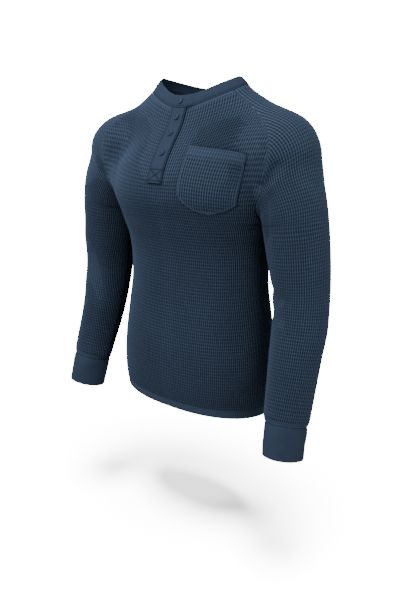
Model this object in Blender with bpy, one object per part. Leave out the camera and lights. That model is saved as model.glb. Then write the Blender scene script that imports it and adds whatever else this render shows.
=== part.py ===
"""Long-sleeved henley in waffle knit, in the hollow form it takes when it is worn.

Metres, +Z up, the front of the garment faces -Y and the wearer's left is +X.
The origin lies between the shoulders, at the height where the neck meets them.
All cloth panels lie on one closed surface, the skin: a neck and body of rounded
sections, a yoke along each shoulder and an arm, melted into each other.
"""
import math

import bmesh
import bpy
import numpy as np
from mathutils import Matrix, Vector

for thing in list(bpy.data.objects):
    bpy.data.objects.remove(thing, do_unlink=True)

# Cloth and seams
KNIT = 0.0020              # waffle knit, measured over its ridges
RIB = 0.0022               # doubled plain knit of collar, cuffs and placket
SEAM_GAP = 0.0008          # what two sewn edges stay apart
LAYER_GAP = 0.0005         # what a piece stays above the panel that it lies on

# Neck, body, waist and hem: half the width, and the depth to the front and to the back
SECTION_COLUMNS = ("height", "half_width", "front", "back", "squareness")
SECTIONS = [
    (-0.658, 0.184, 0.112, 0.108, 2.3),
    (-0.620, 0.184, 0.122, 0.108, 2.3),
    (-0.540, 0.179, 0.127, 0.106, 2.3),
    (-0.460, 0.168, 0.119, 0.098, 2.3),
    (-0.380, 0.158, 0.109, 0.089, 2.3),
    (-0.300, 0.160, 0.116, 0.098, 2.3),
    (-0.250, 0.172, 0.134, 0.110, 2.3),
    (-0.200, 0.180, 0.152, 0.118, 2.3),
    (-0.150, 0.168, 0.141, 0.118, 2.3),
    (-0.100, 0.140, 0.107, 0.108, 2.2),
    (-0.060, 0.110, 0.072, 0.088, 2.1),
    (-0.030, 0.093, 0.050, 0.070, 2.0),
    (0.000, 0.084, 0.034, 0.056, 2.0),
    (0.040, 0.077, 0.026, 0.048, 2.0),
]

# Arm: its axis and radius at each height, hanging slightly out and bent forward
ARM_COLUMNS = ("height", "out", "forward", "radius")
ARM = [
    (-0.702, 0.267, 0.102, 0.0430),
    (-0.639, 0.262, 0.085, 0.0450),
    (-0.510, 0.253, 0.041, 0.0510),
    (-0.387, 0.245, 0.016, 0.0530),
    (-0.300, 0.236, 0.021, 0.0580),
    (-0.200, 0.219, 0.024, 0.0610),
    (-0.130, 0.191, 0.008, 0.0630),
]
SHOULDER = (0.178, 0.000, -0.115)      # where the arm's axis ends and the yoke's begins
YOKE_START = (0.050, 0.006, -0.050)
YOKE_RADIUS = 0.062
YOKE_JOIN = 0.045                      # over this width the two yokes run into each other
BLEND = 0.050                          # how far neck, body, yoke and arm melt together
RIGHT_WRIST_SHIFT = (-0.004, 0.006, 0.014)


def column(table, columns, name, at):
    """One column of a table at any height, as a cubic through its rows."""
    knots = np.array([row[0] for row in table])
    values = np.array([row[columns.index(name)] for row in table])
    slopes = np.gradient(values, knots)
    low = np.clip(np.searchsorted(knots, at) - 1, 0, len(knots) - 2)
    span = knots[low + 1] - knots[low]
    s = np.clip((at - knots[low]) / span, 0.0, 1.0)
    rise = values[low + 1] - values[low]
    start, end = slopes[low] * span, slopes[low + 1] * span
    return values[low] + s * (start + s * (3 * rise - 2 * start - end + s * (start + end - 2 * rise)))


def smoothstep(low, high, at):
    s = np.clip((at - low) / (high - low), 0.0, 1.0)
    return s * s * (3 - 2 * s)


def melt(first, second, width):
    """The smaller of two distances, rounded where they are nearly equal."""
    near = np.maximum(width - np.abs(first - second), 0.0) / np.maximum(width, 1e-9)
    return np.minimum(first, second) - near * near * width / 4


def torso(points):
    x, y, z = np.abs(points[..., 0]), points[..., 1], points[..., 2]
    half_width = column(SECTIONS, SECTION_COLUMNS, "half_width", z)
    front = column(SECTIONS, SECTION_COLUMNS, "front", z)
    back = column(SECTIONS, SECTION_COLUMNS, "back", z)
    power = column(SECTIONS, SECTION_COLUMNS, "squareness", z)
    depth = np.where(y < 0, front, back)
    reach = ((x / half_width) ** power + (np.abs(y) / depth) ** power) ** (1 / power)
    return np.hypot(x, y) * (1 - 1 / np.maximum(reach, 1e-6))


def arm(points):
    x, y, z = np.abs(points[..., 0]), points[..., 1], points[..., 2]
    out = column(ARM, ARM_COLUMNS, "out", z)
    forward = column(ARM, ARM_COLUMNS, "forward", z)
    radius = column(ARM, ARM_COLUMNS, "radius", z)
    rise = np.maximum(z - ARM[-1][0], 0.0)
    return np.sqrt((x - out) ** 2 + (y + forward) ** 2 + rise ** 2) - radius


def yoke(points):
    start, end = np.array(YOKE_START), np.array(SHOULDER)
    mirrored = points.copy()
    mirrored[..., 0] = -melt(-np.abs(points[..., 0]), -start[0], YOKE_JOIN)
    axis = end - start
    s = np.clip((mirrored - start) @ axis / (axis @ axis), 0.0, 1.0)
    return np.linalg.norm(mirrored - start - s[..., None] * axis, axis=-1) - YOKE_RADIUS


def upper_skin(points):
    """Body, yoke and arm as one, for everything above the armpit."""
    width = BLEND * smoothstep(ARMPIT[2], ARMPIT[2] + 0.09, points[..., 2])
    return melt(melt(torso(points), yoke(points), BLEND), arm(points), width)


def cast(skin, origin, direction, start=0.0, reach=0.36, steps=2):
    """The first point past the start of each ray where it is outside the skin."""
    origin, direction = np.broadcast_arrays(origin, direction)
    tries = np.stack([start + step + np.zeros(origin.shape[:-1]) for step in np.linspace(0.0, reach, steps)])
    outside = np.argmax(skin(origin + tries[..., None] * direction) > 0, axis=0)[None]
    low = np.take_along_axis(tries, np.maximum(outside - 1, 0), 0)[0]
    high = np.take_along_axis(tries, outside, 0)[0]
    for _ in range(24):
        middle = (low + high) / 2
        inside = skin(origin + middle[..., None] * direction) < 0
        low, high = np.where(inside, middle, low), np.where(inside, high, middle)
    return origin + low[..., None] * direction


def cast_from(member, origin, direction):
    """The point where each ray leaves the melted skin, followed on from the body or the arm,
    so that it doesn't pass the narrow gap between the two."""
    start = np.linalg.norm(cast(member, origin, direction) - origin, axis=-1)
    return cast(upper_skin, origin, direction, start + 0.00005, 0.16, 160)


def around(skin, angle, height):
    """The skin's point at an angle from the front, towards the wearer's left, and a height."""
    angle, height = np.broadcast_arrays(np.asarray(angle, float), np.asarray(height, float))
    flat = np.zeros(angle.shape)
    origin = np.stack([flat, flat, height], -1)
    direction = np.stack([np.sin(angle), -np.cos(angle), flat], -1)
    return cast(torso, origin, direction) if skin is torso else cast_from(torso, origin, direction)


def normals(skin, grid):
    """Outward directions of the skin at a grid of points, from how its distance changes. The
    end columns take theirs from a little inside, so that in a crease two walls lean apart."""
    points = grid.copy()
    points[:, 0] += 0.25 * (grid[:, 1] - grid[:, 0])
    points[:, -1] += 0.25 * (grid[:, -2] - grid[:, -1])
    step = 0.0002
    parts = [skin(points + step * np.eye(3)[i]) - skin(points - step * np.eye(3)[i]) for i in range(3)]
    slope = np.stack(parts, -1)
    return slope / np.linalg.norm(slope, axis=-1, keepdims=True)


def find_armpit():
    """Where the arm, followed down, first comes clear of the side of the body."""
    for height in np.arange(-0.17, -0.33, -0.0005):
        side = around(torso, np.radians(np.arange(70, 111)), height)
        clear = arm(side)
        if clear.min() > SEAM_GAP:
            return side[clear.argmin()]
    raise ValueError("the arm never leaves the body")


ARMPIT = find_armpit()


# ---- Folds that the worn cloth keeps: soft troughs along lines, each pushed in by a vector.
# ---- The last rows are broad, because one shoulder is held lower than the other.

FOLD_COLUMNS = ("start", "end", "half_width", "push")
FOLDS = [
    ((0.215, -0.075, -0.138), (0.190, -0.083, -0.174), 0.010, (-0.0020, 0.0065, 0.0)),    # left armpit
    ((-0.213, -0.066, -0.136), (-0.190, -0.082, -0.176), 0.012, (0.0015, 0.0045, 0.0)),   # right armpit
    ((-0.252, -0.069, -0.362), (-0.228, -0.074, -0.458), 0.013, (0.0015, 0.0040, 0.0)),   # right elbow
    ((0.200, -0.038, -0.372), (0.228, -0.070, -0.384), 0.010, (0.0030, 0.0035, 0.0)),     # left elbow
    ((0.204, -0.044, -0.420), (0.232, -0.078, -0.424), 0.012, (0.0025, 0.0030, 0.0)),
    ((0.150, 0.088, -0.235), (0.070, 0.098, -0.340), 0.020, (0.0, -0.0045, 0.0)),         # back, below the arms
    ((-0.152, 0.086, -0.230), (-0.080, 0.098, -0.352), 0.018, (0.0, -0.0040, 0.0)),
    ((-0.070, 0.094, -0.405), (0.090, 0.092, -0.415), 0.020, (0.0, -0.0035, 0.0)),        # small of the back
    ((0.225, 0.040, -0.360), (0.268, 0.036, -0.372), 0.012, (0.0, -0.0030, 0.0)),         # elbows, behind
    ((-0.225, 0.040, -0.352), (-0.268, 0.036, -0.366), 0.012, (0.0, -0.0030, 0.0)),
    ((-0.150, 0.010, -0.055), (-0.205, 0.005, -0.080), 0.040, (0.0, 0.0, -0.0100)),       # right shoulder,
    ((-0.240, -0.040, -0.125), (-0.265, -0.045, -0.155), 0.045, (-0.0120, 0.0, 0.0)),     # lower and rounder
    ((-0.275, -0.045, -0.335), (-0.285, -0.060, -0.420), 0.040, (-0.0060, 0.0, 0.0)),
    ((0.130, 0.010, -0.045), (0.215, 0.000, -0.085), 0.040, (0.0, 0.0, 0.0060)),          # left one, higher
    ((0.262, 0.010, -0.170), (0.285, -0.020, -0.440), 0.050, (0.0075, 0.0, 0.0)),
]


def folded(points):
    """The points pushed by the vectors of the folds that they lie near."""
    points = points.copy()
    for start, end, half_width, push in FOLDS:
        start, line = np.array(start), np.subtract(end, start)
        share = np.clip((points - start) @ line / (line @ line), 0.0, 1.0)
        away = np.linalg.norm(points - start - share[..., None] * line, axis=-1) / half_width
        points += np.exp(-away ** 2)[..., None] * push
    return points


# ---- Seams: where the panels' edges run on the skin

NECK_FRONT, NECK_SIDE, NECK_BACK = -0.041, 0.000, -0.023    # height of the neck seam
BAND_FRONT, BAND_SIDE, BAND_BACK = -0.0185, 0.017, -0.006   # height of the collar's upper edge
HEM = -0.658
SLOT_HALF = 0.0135         # half the width of the slot in the front that the placket closes
ARMPIT_ANGLE = math.atan2(ARMPIT[0], -ARMPIT[1])

# Raglan seams: their angle about the body, from the front. Their height above the armpit is
# the rise squared, so that the table is even in the crease where arm and body meet.
RAGLAN_COLUMNS = ("rise", "front", "back")
RAGLAN = [
    (0.00, 84.0, 84.0),
    (0.10, 80.0, 87.7),
    (0.20, 76.5, 90.8),
    (0.30, 72.3, 94.9),
    (0.40, 68.4, 98.8),
    (0.50, 66.3, 102.5),
    (0.60, 66.6, 105.5),
    (0.70, 67.8, 109.0),
    (0.80, 69.3, 110.5),
    (0.85, 71.2, 110.3),
    (0.90, 74.3, 108.5),
    (0.95, 76.3, 106.5),
    (1.00, 73.6, 105.5),
]


def ring_height(angle, front, side, back):
    """Height of a line round the neck that dips at the front and at the back."""
    ahead = np.cos(angle)
    return side + np.where(ahead > 0, front - side, back - side) * np.abs(ahead) ** 1.25


def neck_height(angle):
    return ring_height(angle, NECK_FRONT, NECK_SIDE, NECK_BACK)


def spaced(points, count):
    """Points at equal steps along a line of points."""
    along = np.concatenate([[0.0], np.cumsum(np.linalg.norm(np.diff(points, axis=0), axis=1))])
    at = np.linspace(0.0, along[-1], count)
    return np.stack([np.interp(at, along, points[:, i]) for i in range(3)], -1)


def raglan(name, count):
    """The front or back raglan seam of the left side, from the neck to the armpit."""
    degrees = [row[RAGLAN_COLUMNS.index(name)] for row in RAGLAN]
    rise = np.linspace(1.0, 0.0, 240)
    angle = np.radians(np.interp(rise, [row[0] for row in RAGLAN], degrees))
    height = ARMPIT[2] + (neck_height(angle[0]) - ARMPIT[2]) * rise ** 2
    points = around(upper_skin, angle, height)
    points[-1] = ARMPIT
    return spaced(points, count)


# ---- Cloth: a wall between two grids of points, rows downwards, columns from right to left

def turned_out(grid):
    """Outward directions of a grid, from the run of its rows and columns."""
    out = np.cross(np.gradient(grid, axis=0), np.gradient(grid, axis=1))
    return out / np.linalg.norm(out, axis=-1, keepdims=True)


def drawn_back(grid, *sides, distance=SEAM_GAP / 2):
    """The grid with some of its edges drawn back from their seams."""
    grid = grid.copy()
    for side in sides:
        edge, beside = {"top": (grid[0], grid[1]), "bottom": (grid[-1], grid[-2]),
                        "first": (grid[:, 0], grid[:, 1]), "last": (grid[:, -1], grid[:, -2])}[side]
        step = beside - edge
        edge += distance * step / np.linalg.norm(step, axis=-1, keepdims=True)
    return grid


def wall(name, outer, inner, cloth, left_out=()):
    """A closed piece between two grids. A row whose ends meet is joined into a ring."""
    mesh = bmesh.new()
    layers = []
    for grid in (folded(outer), folded(inner)):
        layer = [[mesh.verts.new(point) for point in row] for row in grid]
        for row, points in zip(layer, outer):
            if np.linalg.norm(points[0] - points[-1]) < 1e-6:
                row[-1] = row[0]
        layers.append(layer)
    face, lining = layers
    for r in range(len(face) - 1):
        for c in range(len(face[0]) - 1):
            if (r, c) not in left_out:
                first, below, across, beside = (r, c), (r + 1, c), (r + 1, c + 1), (r, c + 1)
                for corners in ((first, below, across), (first, across, beside)):
                    mesh.faces.new([face[i][j] for i, j in corners])
                    mesh.faces.new([lining[i][j] for i, j in reversed(corners)])
    behind = {a: b for top, under in zip(face, lining) for a, b in zip(top, under)}
    for edge in [edge for edge in mesh.edges if edge.is_boundary and edge.verts[0] in behind]:
        start = edge.link_loops[0].vert
        end = edge.other_vert(start)
        mesh.faces.new([end, start, behind[start]])
        mesh.faces.new([end, behind[start], behind[end]])
    for loose in [vertex for vertex in mesh.verts if not vertex.link_faces]:
        mesh.verts.remove(loose)
    return finished(name, mesh, cloth)


def finished(name, mesh, material):
    data = bpy.data.meshes.new(name)
    mesh.to_mesh(data)
    mesh.free()
    data.shade_smooth()
    data.set_sharp_from_angle(angle=math.radians(40))
    data.materials.append(material)
    piece = bpy.data.objects.new(name, data)
    bpy.context.scene.collection.objects.link(piece)
    return piece


def surface(name, color, roughness):
    material = bpy.data.materials.new(name)
    material.use_nodes = True
    shader = material.node_tree.nodes["Principled BSDF"]
    shader.inputs["Base Color"].default_value = (*color, 1.0)
    shader.inputs["Roughness"].default_value = roughness
    return material


def to_right(grid):
    """The left side's grid as the wearer's right side has it, with its arm held a little apart."""
    right = grid[:, ::-1] * [-1, 1, 1]
    share = 1 - smoothstep(-0.65, -0.25, right[..., 2])
    return right + share[..., None] * RIGHT_WRIST_SHIFT


# ---- Front and back: rows follow the neck seam above the armpit and are level below it

ROWS_ABOVE = 10            # rows between the neck and the armpit
ROWS_BELOW = 12            # rows between the armpit and the hem
SLOT_ROWS = 6              # rows that the placket's slot takes
HALF_COLUMNS = 11          # columns between the slot's edge and a seam


def body_panel(name):
    """Points and outward directions of the front or back, from its right to its left seam."""
    middle = 0.0 if name == "front" else math.pi
    seam = raglan(name, ROWS_ABOVE + 1)
    below = np.linspace(ARMPIT[2], HEM, ROWS_BELOW + 1)[1:]
    side = np.interp(below, [HEM, ARMPIT[2]], [math.pi / 2, ARMPIT_ANGLE])
    edge_angle = np.concatenate([np.arctan2(seam[:, 0], -seam[:, 1]), side])
    edge_height = np.concatenate([seam[:, 2], below])
    start = float(neck_height(middle))
    centre_height = np.concatenate([np.linspace(start, ARMPIT[2], ROWS_ABOVE + 1), below])

    half = np.abs(edge_angle - middle)
    depth = np.abs(around(upper_skin, middle, centre_height)[:, 1])
    slot = np.arctan2(SLOT_HALF, depth)
    spread = slot[:, None] + (half - slot)[:, None] * np.linspace(0, 1, HALF_COLUMNS + 1)
    angle = middle + np.concatenate([-spread[:, ::-1], 0 * slot[:, None], spread], axis=1)
    droop = (centre_height - edge_height) / (centre_height[0] - edge_height[0])
    height = edge_height[:, None] + (neck_height(angle[0]) - edge_height[0]) * droop[:, None]

    above, level = slice(0, ROWS_ABOVE), slice(ROWS_ABOVE, None)
    points = np.concatenate([around(upper_skin, angle[above], height[above]),
                             around(torso, angle[level], height[level])])
    out = np.concatenate([normals(upper_skin, points[above]), normals(torso, points[level])])
    return points, out


waffle = surface("waffle knit", (0.027, 0.053, 0.098), 0.9)
front_points, front_out = body_panel("front")
slot = {(row, column) for row in range(SLOT_ROWS) for column in (HALF_COLUMNS, HALF_COLUMNS + 1)}
outer = drawn_back(front_points, "top", "first", "last")
wall("front", outer, outer - KNIT * front_out, waffle, left_out=slot)

back_points, back_out = body_panel("back")
outer = drawn_back(back_points, "top", "first", "last")
wall("back", outer, outer - KNIT * back_out, waffle)


# ---- Sleeves: rings from the neck over the shoulder, closed from the armpit down

SLEEVE_RINGS = 24          # rings between the armpit and the cuff
SIDE_COLUMNS = 9           # columns from the sleeve's top line to either seam
CUFF_SEAM = -0.626         # height where the arm's axis passes the cuff seam
TOP_FAN = (0.130, -0.200)  # where, across and up, the rays that find the top line start


def arm_axis(height):
    """The arm's axis at a height, and its direction towards the wrist."""
    def place(at):
        out = column(ARM, ARM_COLUMNS, "out", at)
        forward = column(ARM, ARM_COLUMNS, "forward", at)
        return np.array([float(out), -float(forward), at])
    along = place(height - 0.005) - place(height + 0.005)
    return place(height), along / np.linalg.norm(along)


def spokes(height, count):
    """A point of the arm's axis, and directions square to the axis, once round from the
    underarm over the front, outside and back."""
    centre, along = arm_axis(height)
    outward = np.cross([0.0, -1.0, 0.0], along)
    outward /= np.linalg.norm(outward)
    turn = np.linspace(-math.pi, math.pi, count + 1)[:, None]
    ray = np.cos(turn) * outward + np.sin(turn) * np.cross(outward, along)
    ray[-1] = ray[0]
    return centre, ray


def top_line(count):
    """The sleeve's line from the neck over the shoulder to the outside of the arm."""
    neck = around(upper_skin, math.pi / 2, NECK_SIDE)
    centre, along = arm_axis(ARMPIT[2] + 0.01)
    outward = np.array([-along[2], 0.0, along[0]])
    end = cast(arm, centre, outward / np.linalg.norm(outward))
    share = np.linspace(0, 1, 200)
    turn = [math.atan2(point[0] - TOP_FAN[0], point[2] - TOP_FAN[1]) for point in (neck, end)]
    turn = turn[0] + (turn[1] - turn[0]) * share
    origin = np.stack([0 * share + TOP_FAN[0], share * end[1], 0 * share + TOP_FAN[1]], -1)
    points = cast_from(torso, origin, np.stack([np.sin(turn), 0 * turn, np.cos(turn)], -1))
    points[0], points[-1] = neck, end
    return spaced(points, count)


def half_ring(centre, top, seam, forward):
    """Points on the skin from the top line to a raglan seam, as an arc seen from the centre."""
    first, last = top - centre, seam - centre
    first, last = first / np.linalg.norm(first), last / np.linalg.norm(last)
    aside = np.array([0.0, forward, 0.0])
    aside -= (aside @ first) * first
    aside /= np.linalg.norm(aside)
    half_turn = math.acos(max(-1.0, min(1.0, first @ last))) / 2
    s = np.linspace(0, 1, 80)[:, None]
    ray = ((1 - s) ** 2 * first + s ** 2 * last
           + 2 * s * (1 - s) * (math.cos(half_turn) * first + math.sin(half_turn) * aside))
    points = cast_from(arm, centre, ray / np.linalg.norm(ray, axis=1, keepdims=True))
    points[0] = top
    return spaced(points, SIDE_COLUMNS + 1)


def cap_rings():
    """The open rings between the raglan seams; the last one closes at the armpit."""
    fronts, backs = raglan("front", ROWS_ABOVE + 1), raglan("back", ROWS_ABOVE + 1)
    tops = top_line(ROWS_ABOVE + 1)
    rings = []
    for row, (front, back, top) in enumerate(zip(fronts, backs, tops)):
        share = row / ROWS_ABOVE
        between = (front + back) / 2
        centre = between + (1.5 * share - 1.0) * (top - between)
        if row == 0:
            ends = [math.atan2(point[0], -point[1]) for point in (front, top, back)]
            ring = [spaced(around(upper_skin, np.linspace(a, b, 40), neck_height(np.linspace(a, b, 40))),
                           SIDE_COLUMNS + 1) for a, b in zip(ends, ends[1:])]
        else:
            ring = [half_ring(centre, top, front, -1.0)[::-1], half_ring(centre, top, back, 1.0)]
        ring = np.concatenate([ring[0], ring[1][1:]])
        if row < ROWS_ABOVE:
            ring[0], ring[-1] = front, back
        rings.append(ring)
    return np.array(rings)


def arm_rings():
    """Closed rings square to the arm's axis, from below the armpit to the cuff seam."""
    rings = []
    begin = ARMPIT[2] + 0.01
    heights = begin + (CUFF_SEAM - begin) * np.linspace(0, 1, SLEEVE_RINGS + 1)[1:]
    heights[-3:] = CUFF_SEAM + 0.018, CUFF_SEAM + 0.006, CUFF_SEAM
    gathers = np.ones(SLEEVE_RINGS)
    gathers[-2:] = 0.985, 0.945
    for height, gather in zip(heights, gathers):
        centre, ray = spokes(height, 2 * SIDE_COLUMNS)
        rings.append(centre + gather * (cast(arm, centre, ray) - centre))
    return np.array(rings)


cap, tube = cap_rings(), arm_rings()
sleeve_points = np.concatenate([cap, tube])
sleeve_out = np.concatenate([normals(upper_skin, cap[:-1]), normals(arm, cap[-1:]), normals(arm, tube)])
closed = sleeve_out[ROWS_ABOVE:]
closed[:, 0] = closed[:, -1] = (closed[:, 0] + closed[:, -1]) / 2
outer = drawn_back(sleeve_points, "top", "bottom")
outer[:ROWS_ABOVE] = drawn_back(outer[:ROWS_ABOVE], "first", "last")
inner = outer - KNIT * sleeve_out
wall("sleeve_left", outer, inner, waffle)
wall("sleeve_right", to_right(outer), to_right(inner), waffle)


# ---- Cuffs: double tubes of rib, a little narrower than the gathered sleeve end

CUFF_END = -0.690          # height where the arm's axis passes the cuff's edge
CUFF_COLUMNS = ("down", "radius")
CUFF = [(0.0, 0.0412), (0.12, 0.0422), (0.55, 0.0418), (1.0, 0.0410)]

rib = surface("plain rib", (0.036, 0.068, 0.120), 0.85)
rings, rays = [], []
for down, radius in CUFF:
    centre, ray = spokes(CUFF_SEAM + down * (CUFF_END - CUFF_SEAM), 24)
    rings.append(centre + radius * ray)
    rays.append(ray)
outer = drawn_back(np.array(rings), "top")
inner = outer - RIB * np.array(rays)
wall("cuff_left", outer, inner, rib)
wall("cuff_right", to_right(outer), to_right(inner), rib)


# ---- Collar: one band round the neck, the wearer's left end lapping over the right one

LAP = 0.016                # how far each end passes the centre line
COLLAR_COLUMNS = 54
COLLAR_BULGE = 0.0008

depth = abs(around(upper_skin, 0.0, NECK_FRONT)[1])
lap = math.atan2(LAP, depth)
full = 2 * math.pi
turn = np.concatenate([[-full - lap, -full - lap / 2, -full, -full + lap / 2],
                       np.linspace(-full + lap, -lap, COLLAR_COLUMNS), [0.0, lap]])
base = around(upper_skin, turn, neck_height(turn))
edge = around(upper_skin, turn, ring_height(turn, BAND_FRONT, BAND_SIDE, BAND_BACK))
base += 0.65 * SEAM_GAP * (edge - base) / np.linalg.norm(edge - base, axis=-1, keepdims=True)
share = np.linspace(0, 1, 4)[:, None, None]
collar_points = edge + share * (base - edge)
collar_out = turned_out(collar_points)
raised = (RIB + LAYER_GAP) * (1 - smoothstep(-full + 1.1 * lap, -full + 2.4 * lap, turn))
outer = collar_points + (raised[:, None] + COLLAR_BULGE * np.sin(math.pi * share)) * collar_out
wall("collar", outer, outer - RIB * collar_out, rib)
collar_button = (outer[1, 2] + outer[2, 2]) / 2, collar_out[1, 2]


# ---- Placket: an upper layer over the slot's edges and an under layer between them

PLACKET_HALF = 0.0165
PLACKET_END = -0.1745


def down_front(across, end=None):
    """The front's points and directions at distances from the centre line, to the slot's end
    or to a height just below it."""
    found = []
    for grid in (front_points, front_out):
        rows = [np.stack([np.interp(across, place[:, 0], row[:, i]) for i in range(3)], -1)
                for place, row in zip(front_points, grid)]
        rows, following = rows[:SLOT_ROWS + 1], rows[SLOT_ROWS + 1]
        if end is not None:
            heights = front_points[SLOT_ROWS:SLOT_ROWS + 2, HALF_COLUMNS + 1, 2]
            share = (end - heights[0]) / (heights[1] - heights[0])
            rows.append(rows[-1] + share * (following - rows[-1]))
        found.append(np.array(rows))
    return found[0], found[1] / np.linalg.norm(found[1], axis=-1, keepdims=True)


points, out = down_front([-PLACKET_HALF, -SLOT_HALF, 0.0, SLOT_HALF, PLACKET_HALF], PLACKET_END)
outer = drawn_back(points + (LAYER_GAP + RIB) * out, "top")
wall("placket", outer, outer - RIB * out, rib)

points, out = down_front([LAYER_GAP - SLOT_HALF, 0.0, SLOT_HALF - LAYER_GAP])
outer = drawn_back(points, "top")
outer = drawn_back(outer, "bottom", distance=LAYER_GAP)
wall("placket_under", outer, outer - RIB * out, rib)


# ---- Pocket: a patch on the wearer's left chest with a rounded point at its foot

POCKET_COLUMNS = ("across", "mouth", "foot")
POCKET = [
    (0.0505, -0.1065, -0.1930),
    (0.0640, -0.1080, -0.2075),
    (0.0790, -0.1100, -0.2190),
    (0.0930, -0.1117, -0.2245),
    (0.1080, -0.1136, -0.2255),
    (0.1230, -0.1156, -0.2225),
    (0.1360, -0.1173, -0.2170),
    (0.1480, -0.1190, -0.2090),
]
POCKET_SPREAD = 0.008      # how much wider the mouth is than the foot, at the outer side

patch = slice(2, 11), slice(HALF_COLUMNS + 2, 2 * HALF_COLUMNS + 2)
points, out = front_points[patch], front_out[patch]
pocket = wall("pocket", points + (LAYER_GAP + KNIT) * out, points + LAYER_GAP * out, waffle)

outline = [(across, foot) for across, mouth, foot in POCKET]
outline += [(across + POCKET_SPREAD * (across - POCKET[0][0]) / (POCKET[-1][0] - POCKET[0][0]), mouth)
            for across, mouth, foot in reversed(POCKET)]
mesh = bmesh.new()
mesh.faces.new([mesh.verts.new((x, -0.3, z)) for x, z in outline])
grown = bmesh.ops.extrude_face_region(mesh, geom=mesh.faces[:])["geom"]
bmesh.ops.translate(mesh, vec=(0, 0.3, 0), verts=[v for v in grown if isinstance(v, bmesh.types.BMVert)])
bmesh.ops.recalc_face_normals(mesh, faces=mesh.faces)
cutter = finished("pocket_outline", mesh, waffle)
cutter.hide_render = True
cutter.display_type = "WIRE"
cut = pocket.modifiers.new("outline", "BOOLEAN")
cut.operation = "INTERSECT"
cut.object = cutter


# ---- Buttons: four-hole buttons on the lapped end of the collar and down the placket

BUTTON_RADIUS = 0.0055
BUTTON_THICKNESS = 0.0022
BUTTON_HOLE_RADIUS = 0.0008
BUTTON_HOLE_OFFSET = 0.0012
BUTTON_HEIGHTS = (-0.058, -0.088, -0.122)

mesh = bmesh.new()
bmesh.ops.create_circle(mesh, radius=BUTTON_RADIUS, segments=24)
for x in (-BUTTON_HOLE_OFFSET, BUTTON_HOLE_OFFSET):
    for y in (-BUTTON_HOLE_OFFSET, BUTTON_HOLE_OFFSET):
        bmesh.ops.create_circle(mesh, radius=BUTTON_HOLE_RADIUS, segments=6, matrix=Matrix.Translation((x, y, 0)))
bmesh.ops.triangle_fill(mesh, edges=mesh.edges, use_beauty=True)
grown = bmesh.ops.extrude_face_region(mesh, geom=mesh.faces[:])["geom"]
top = [v for v in grown if isinstance(v, bmesh.types.BMVert)]
bmesh.ops.translate(mesh, vec=(0, 0, BUTTON_THICKNESS), verts=top)
bmesh.ops.recalc_face_normals(mesh, faces=mesh.faces)
button_1 = finished("button_1", mesh, surface("dyed resin", (0.030, 0.055, 0.100), 0.4))

centre = HALF_COLUMNS + 1
places = [collar_button]
for height in BUTTON_HEIGHTS:
    at = np.array([[np.interp(-height, -front_points[:, centre, 2], grid[:, centre, i]) for i in range(3)]
                   for grid in (front_points, front_out)])
    out = at[1] / np.linalg.norm(at[1])
    places.append((at[0] + (LAYER_GAP + RIB) * out, out))
for number, (place, out) in enumerate(places, 1):
    button = button_1 if number == 1 else bpy.data.objects.new(f"button_{number}", button_1.data)
    if number > 1:
        bpy.context.scene.collection.objects.link(button)
    button.location = place + LAYER_GAP * out
    button.rotation_euler = Vector(out).to_track_quat("Z", "Y").to_euler()
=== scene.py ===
"""The looks of a long-sleeved henley in navy waffle knit, filled out as it is when worn.

Metres, +Z up. The front faces -Y and the wearer's left is +X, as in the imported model.
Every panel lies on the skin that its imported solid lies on, with its knit raised in the wall.
"""
import math

import bmesh
import bpy
import numpy as np
from mathutils import Matrix, Vector


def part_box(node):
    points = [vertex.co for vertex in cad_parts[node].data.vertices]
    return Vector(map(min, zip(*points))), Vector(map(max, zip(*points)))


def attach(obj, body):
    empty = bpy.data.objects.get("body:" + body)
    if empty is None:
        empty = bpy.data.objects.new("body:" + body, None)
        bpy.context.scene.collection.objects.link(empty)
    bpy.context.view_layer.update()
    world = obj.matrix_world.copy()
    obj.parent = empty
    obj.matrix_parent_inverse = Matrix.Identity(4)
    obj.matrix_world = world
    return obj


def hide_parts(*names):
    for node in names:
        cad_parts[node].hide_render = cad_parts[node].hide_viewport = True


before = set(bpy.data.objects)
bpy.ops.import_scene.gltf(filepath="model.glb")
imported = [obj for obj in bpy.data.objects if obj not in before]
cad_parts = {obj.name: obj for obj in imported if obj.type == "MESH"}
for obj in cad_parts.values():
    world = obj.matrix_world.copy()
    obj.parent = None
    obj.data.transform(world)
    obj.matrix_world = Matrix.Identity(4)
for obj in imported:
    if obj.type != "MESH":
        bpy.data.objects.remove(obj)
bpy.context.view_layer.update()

bpy.ops.object.select_all(action="DESELECT")


# ---- Studio. A pale floor well below the hem, a pale room round it, a large soft light high on
# ---- the left of the camera and weaker ones at both sides, overhead and behind. Floor and room
# ---- look white: the floor has a broad sun of its own, and neither throws much back.

CAMERA_TURN = math.radians(34.7)       # round from the front, towards the wearer's left
CAMERA_TILT = math.radians(18.33)      # downwards
CAMERA_DISTANCE, CAMERA_HEIGHT = 1.25, -0.03
CAMERA_LENS = 35.85                    # on a sensor 36 mm high
FLOOR_HEIGHT, FLOOR_RADIUS = -0.975, 14.0
FLOOR_PALENESS = 0.86                  # as it is seen
FLOOR_THROWS_BACK = 0.01               # as the light that it throws back sees it
ROOM_LIGHT = 0.24                      # what the room sheds on the top
WHITE = 18.0                           # how bright room and floor look themselves
FLOOR_SUN = 0.95                       # the floor's light, as a share of what makes it as bright
SUN_BREADTH, SUN_TILT = math.radians(25), math.radians(10)
LIT_POINT = (0.0, 0.0, -0.3)           # what the lamps face
# Name, width, height, power, degrees round from the camera, height above the origin, distance
LAMPS = [
    ("key_light", 1.2, 1.2, 42.0, -25, 1.2, 1.9),
    ("fill_light", 1.0, 1.6, 16.0, 75, 0.5, 2.0),
    ("far_light", 1.0, 1.6, 26.0, -95, 0.5, 2.0),
    ("top_light", 1.4, 1.4, 20.0, 0, 2.0, 0.05),
    ("back_light", 1.4, 1.4, 16.0, 180, 1.0, 2.0),
]


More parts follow.
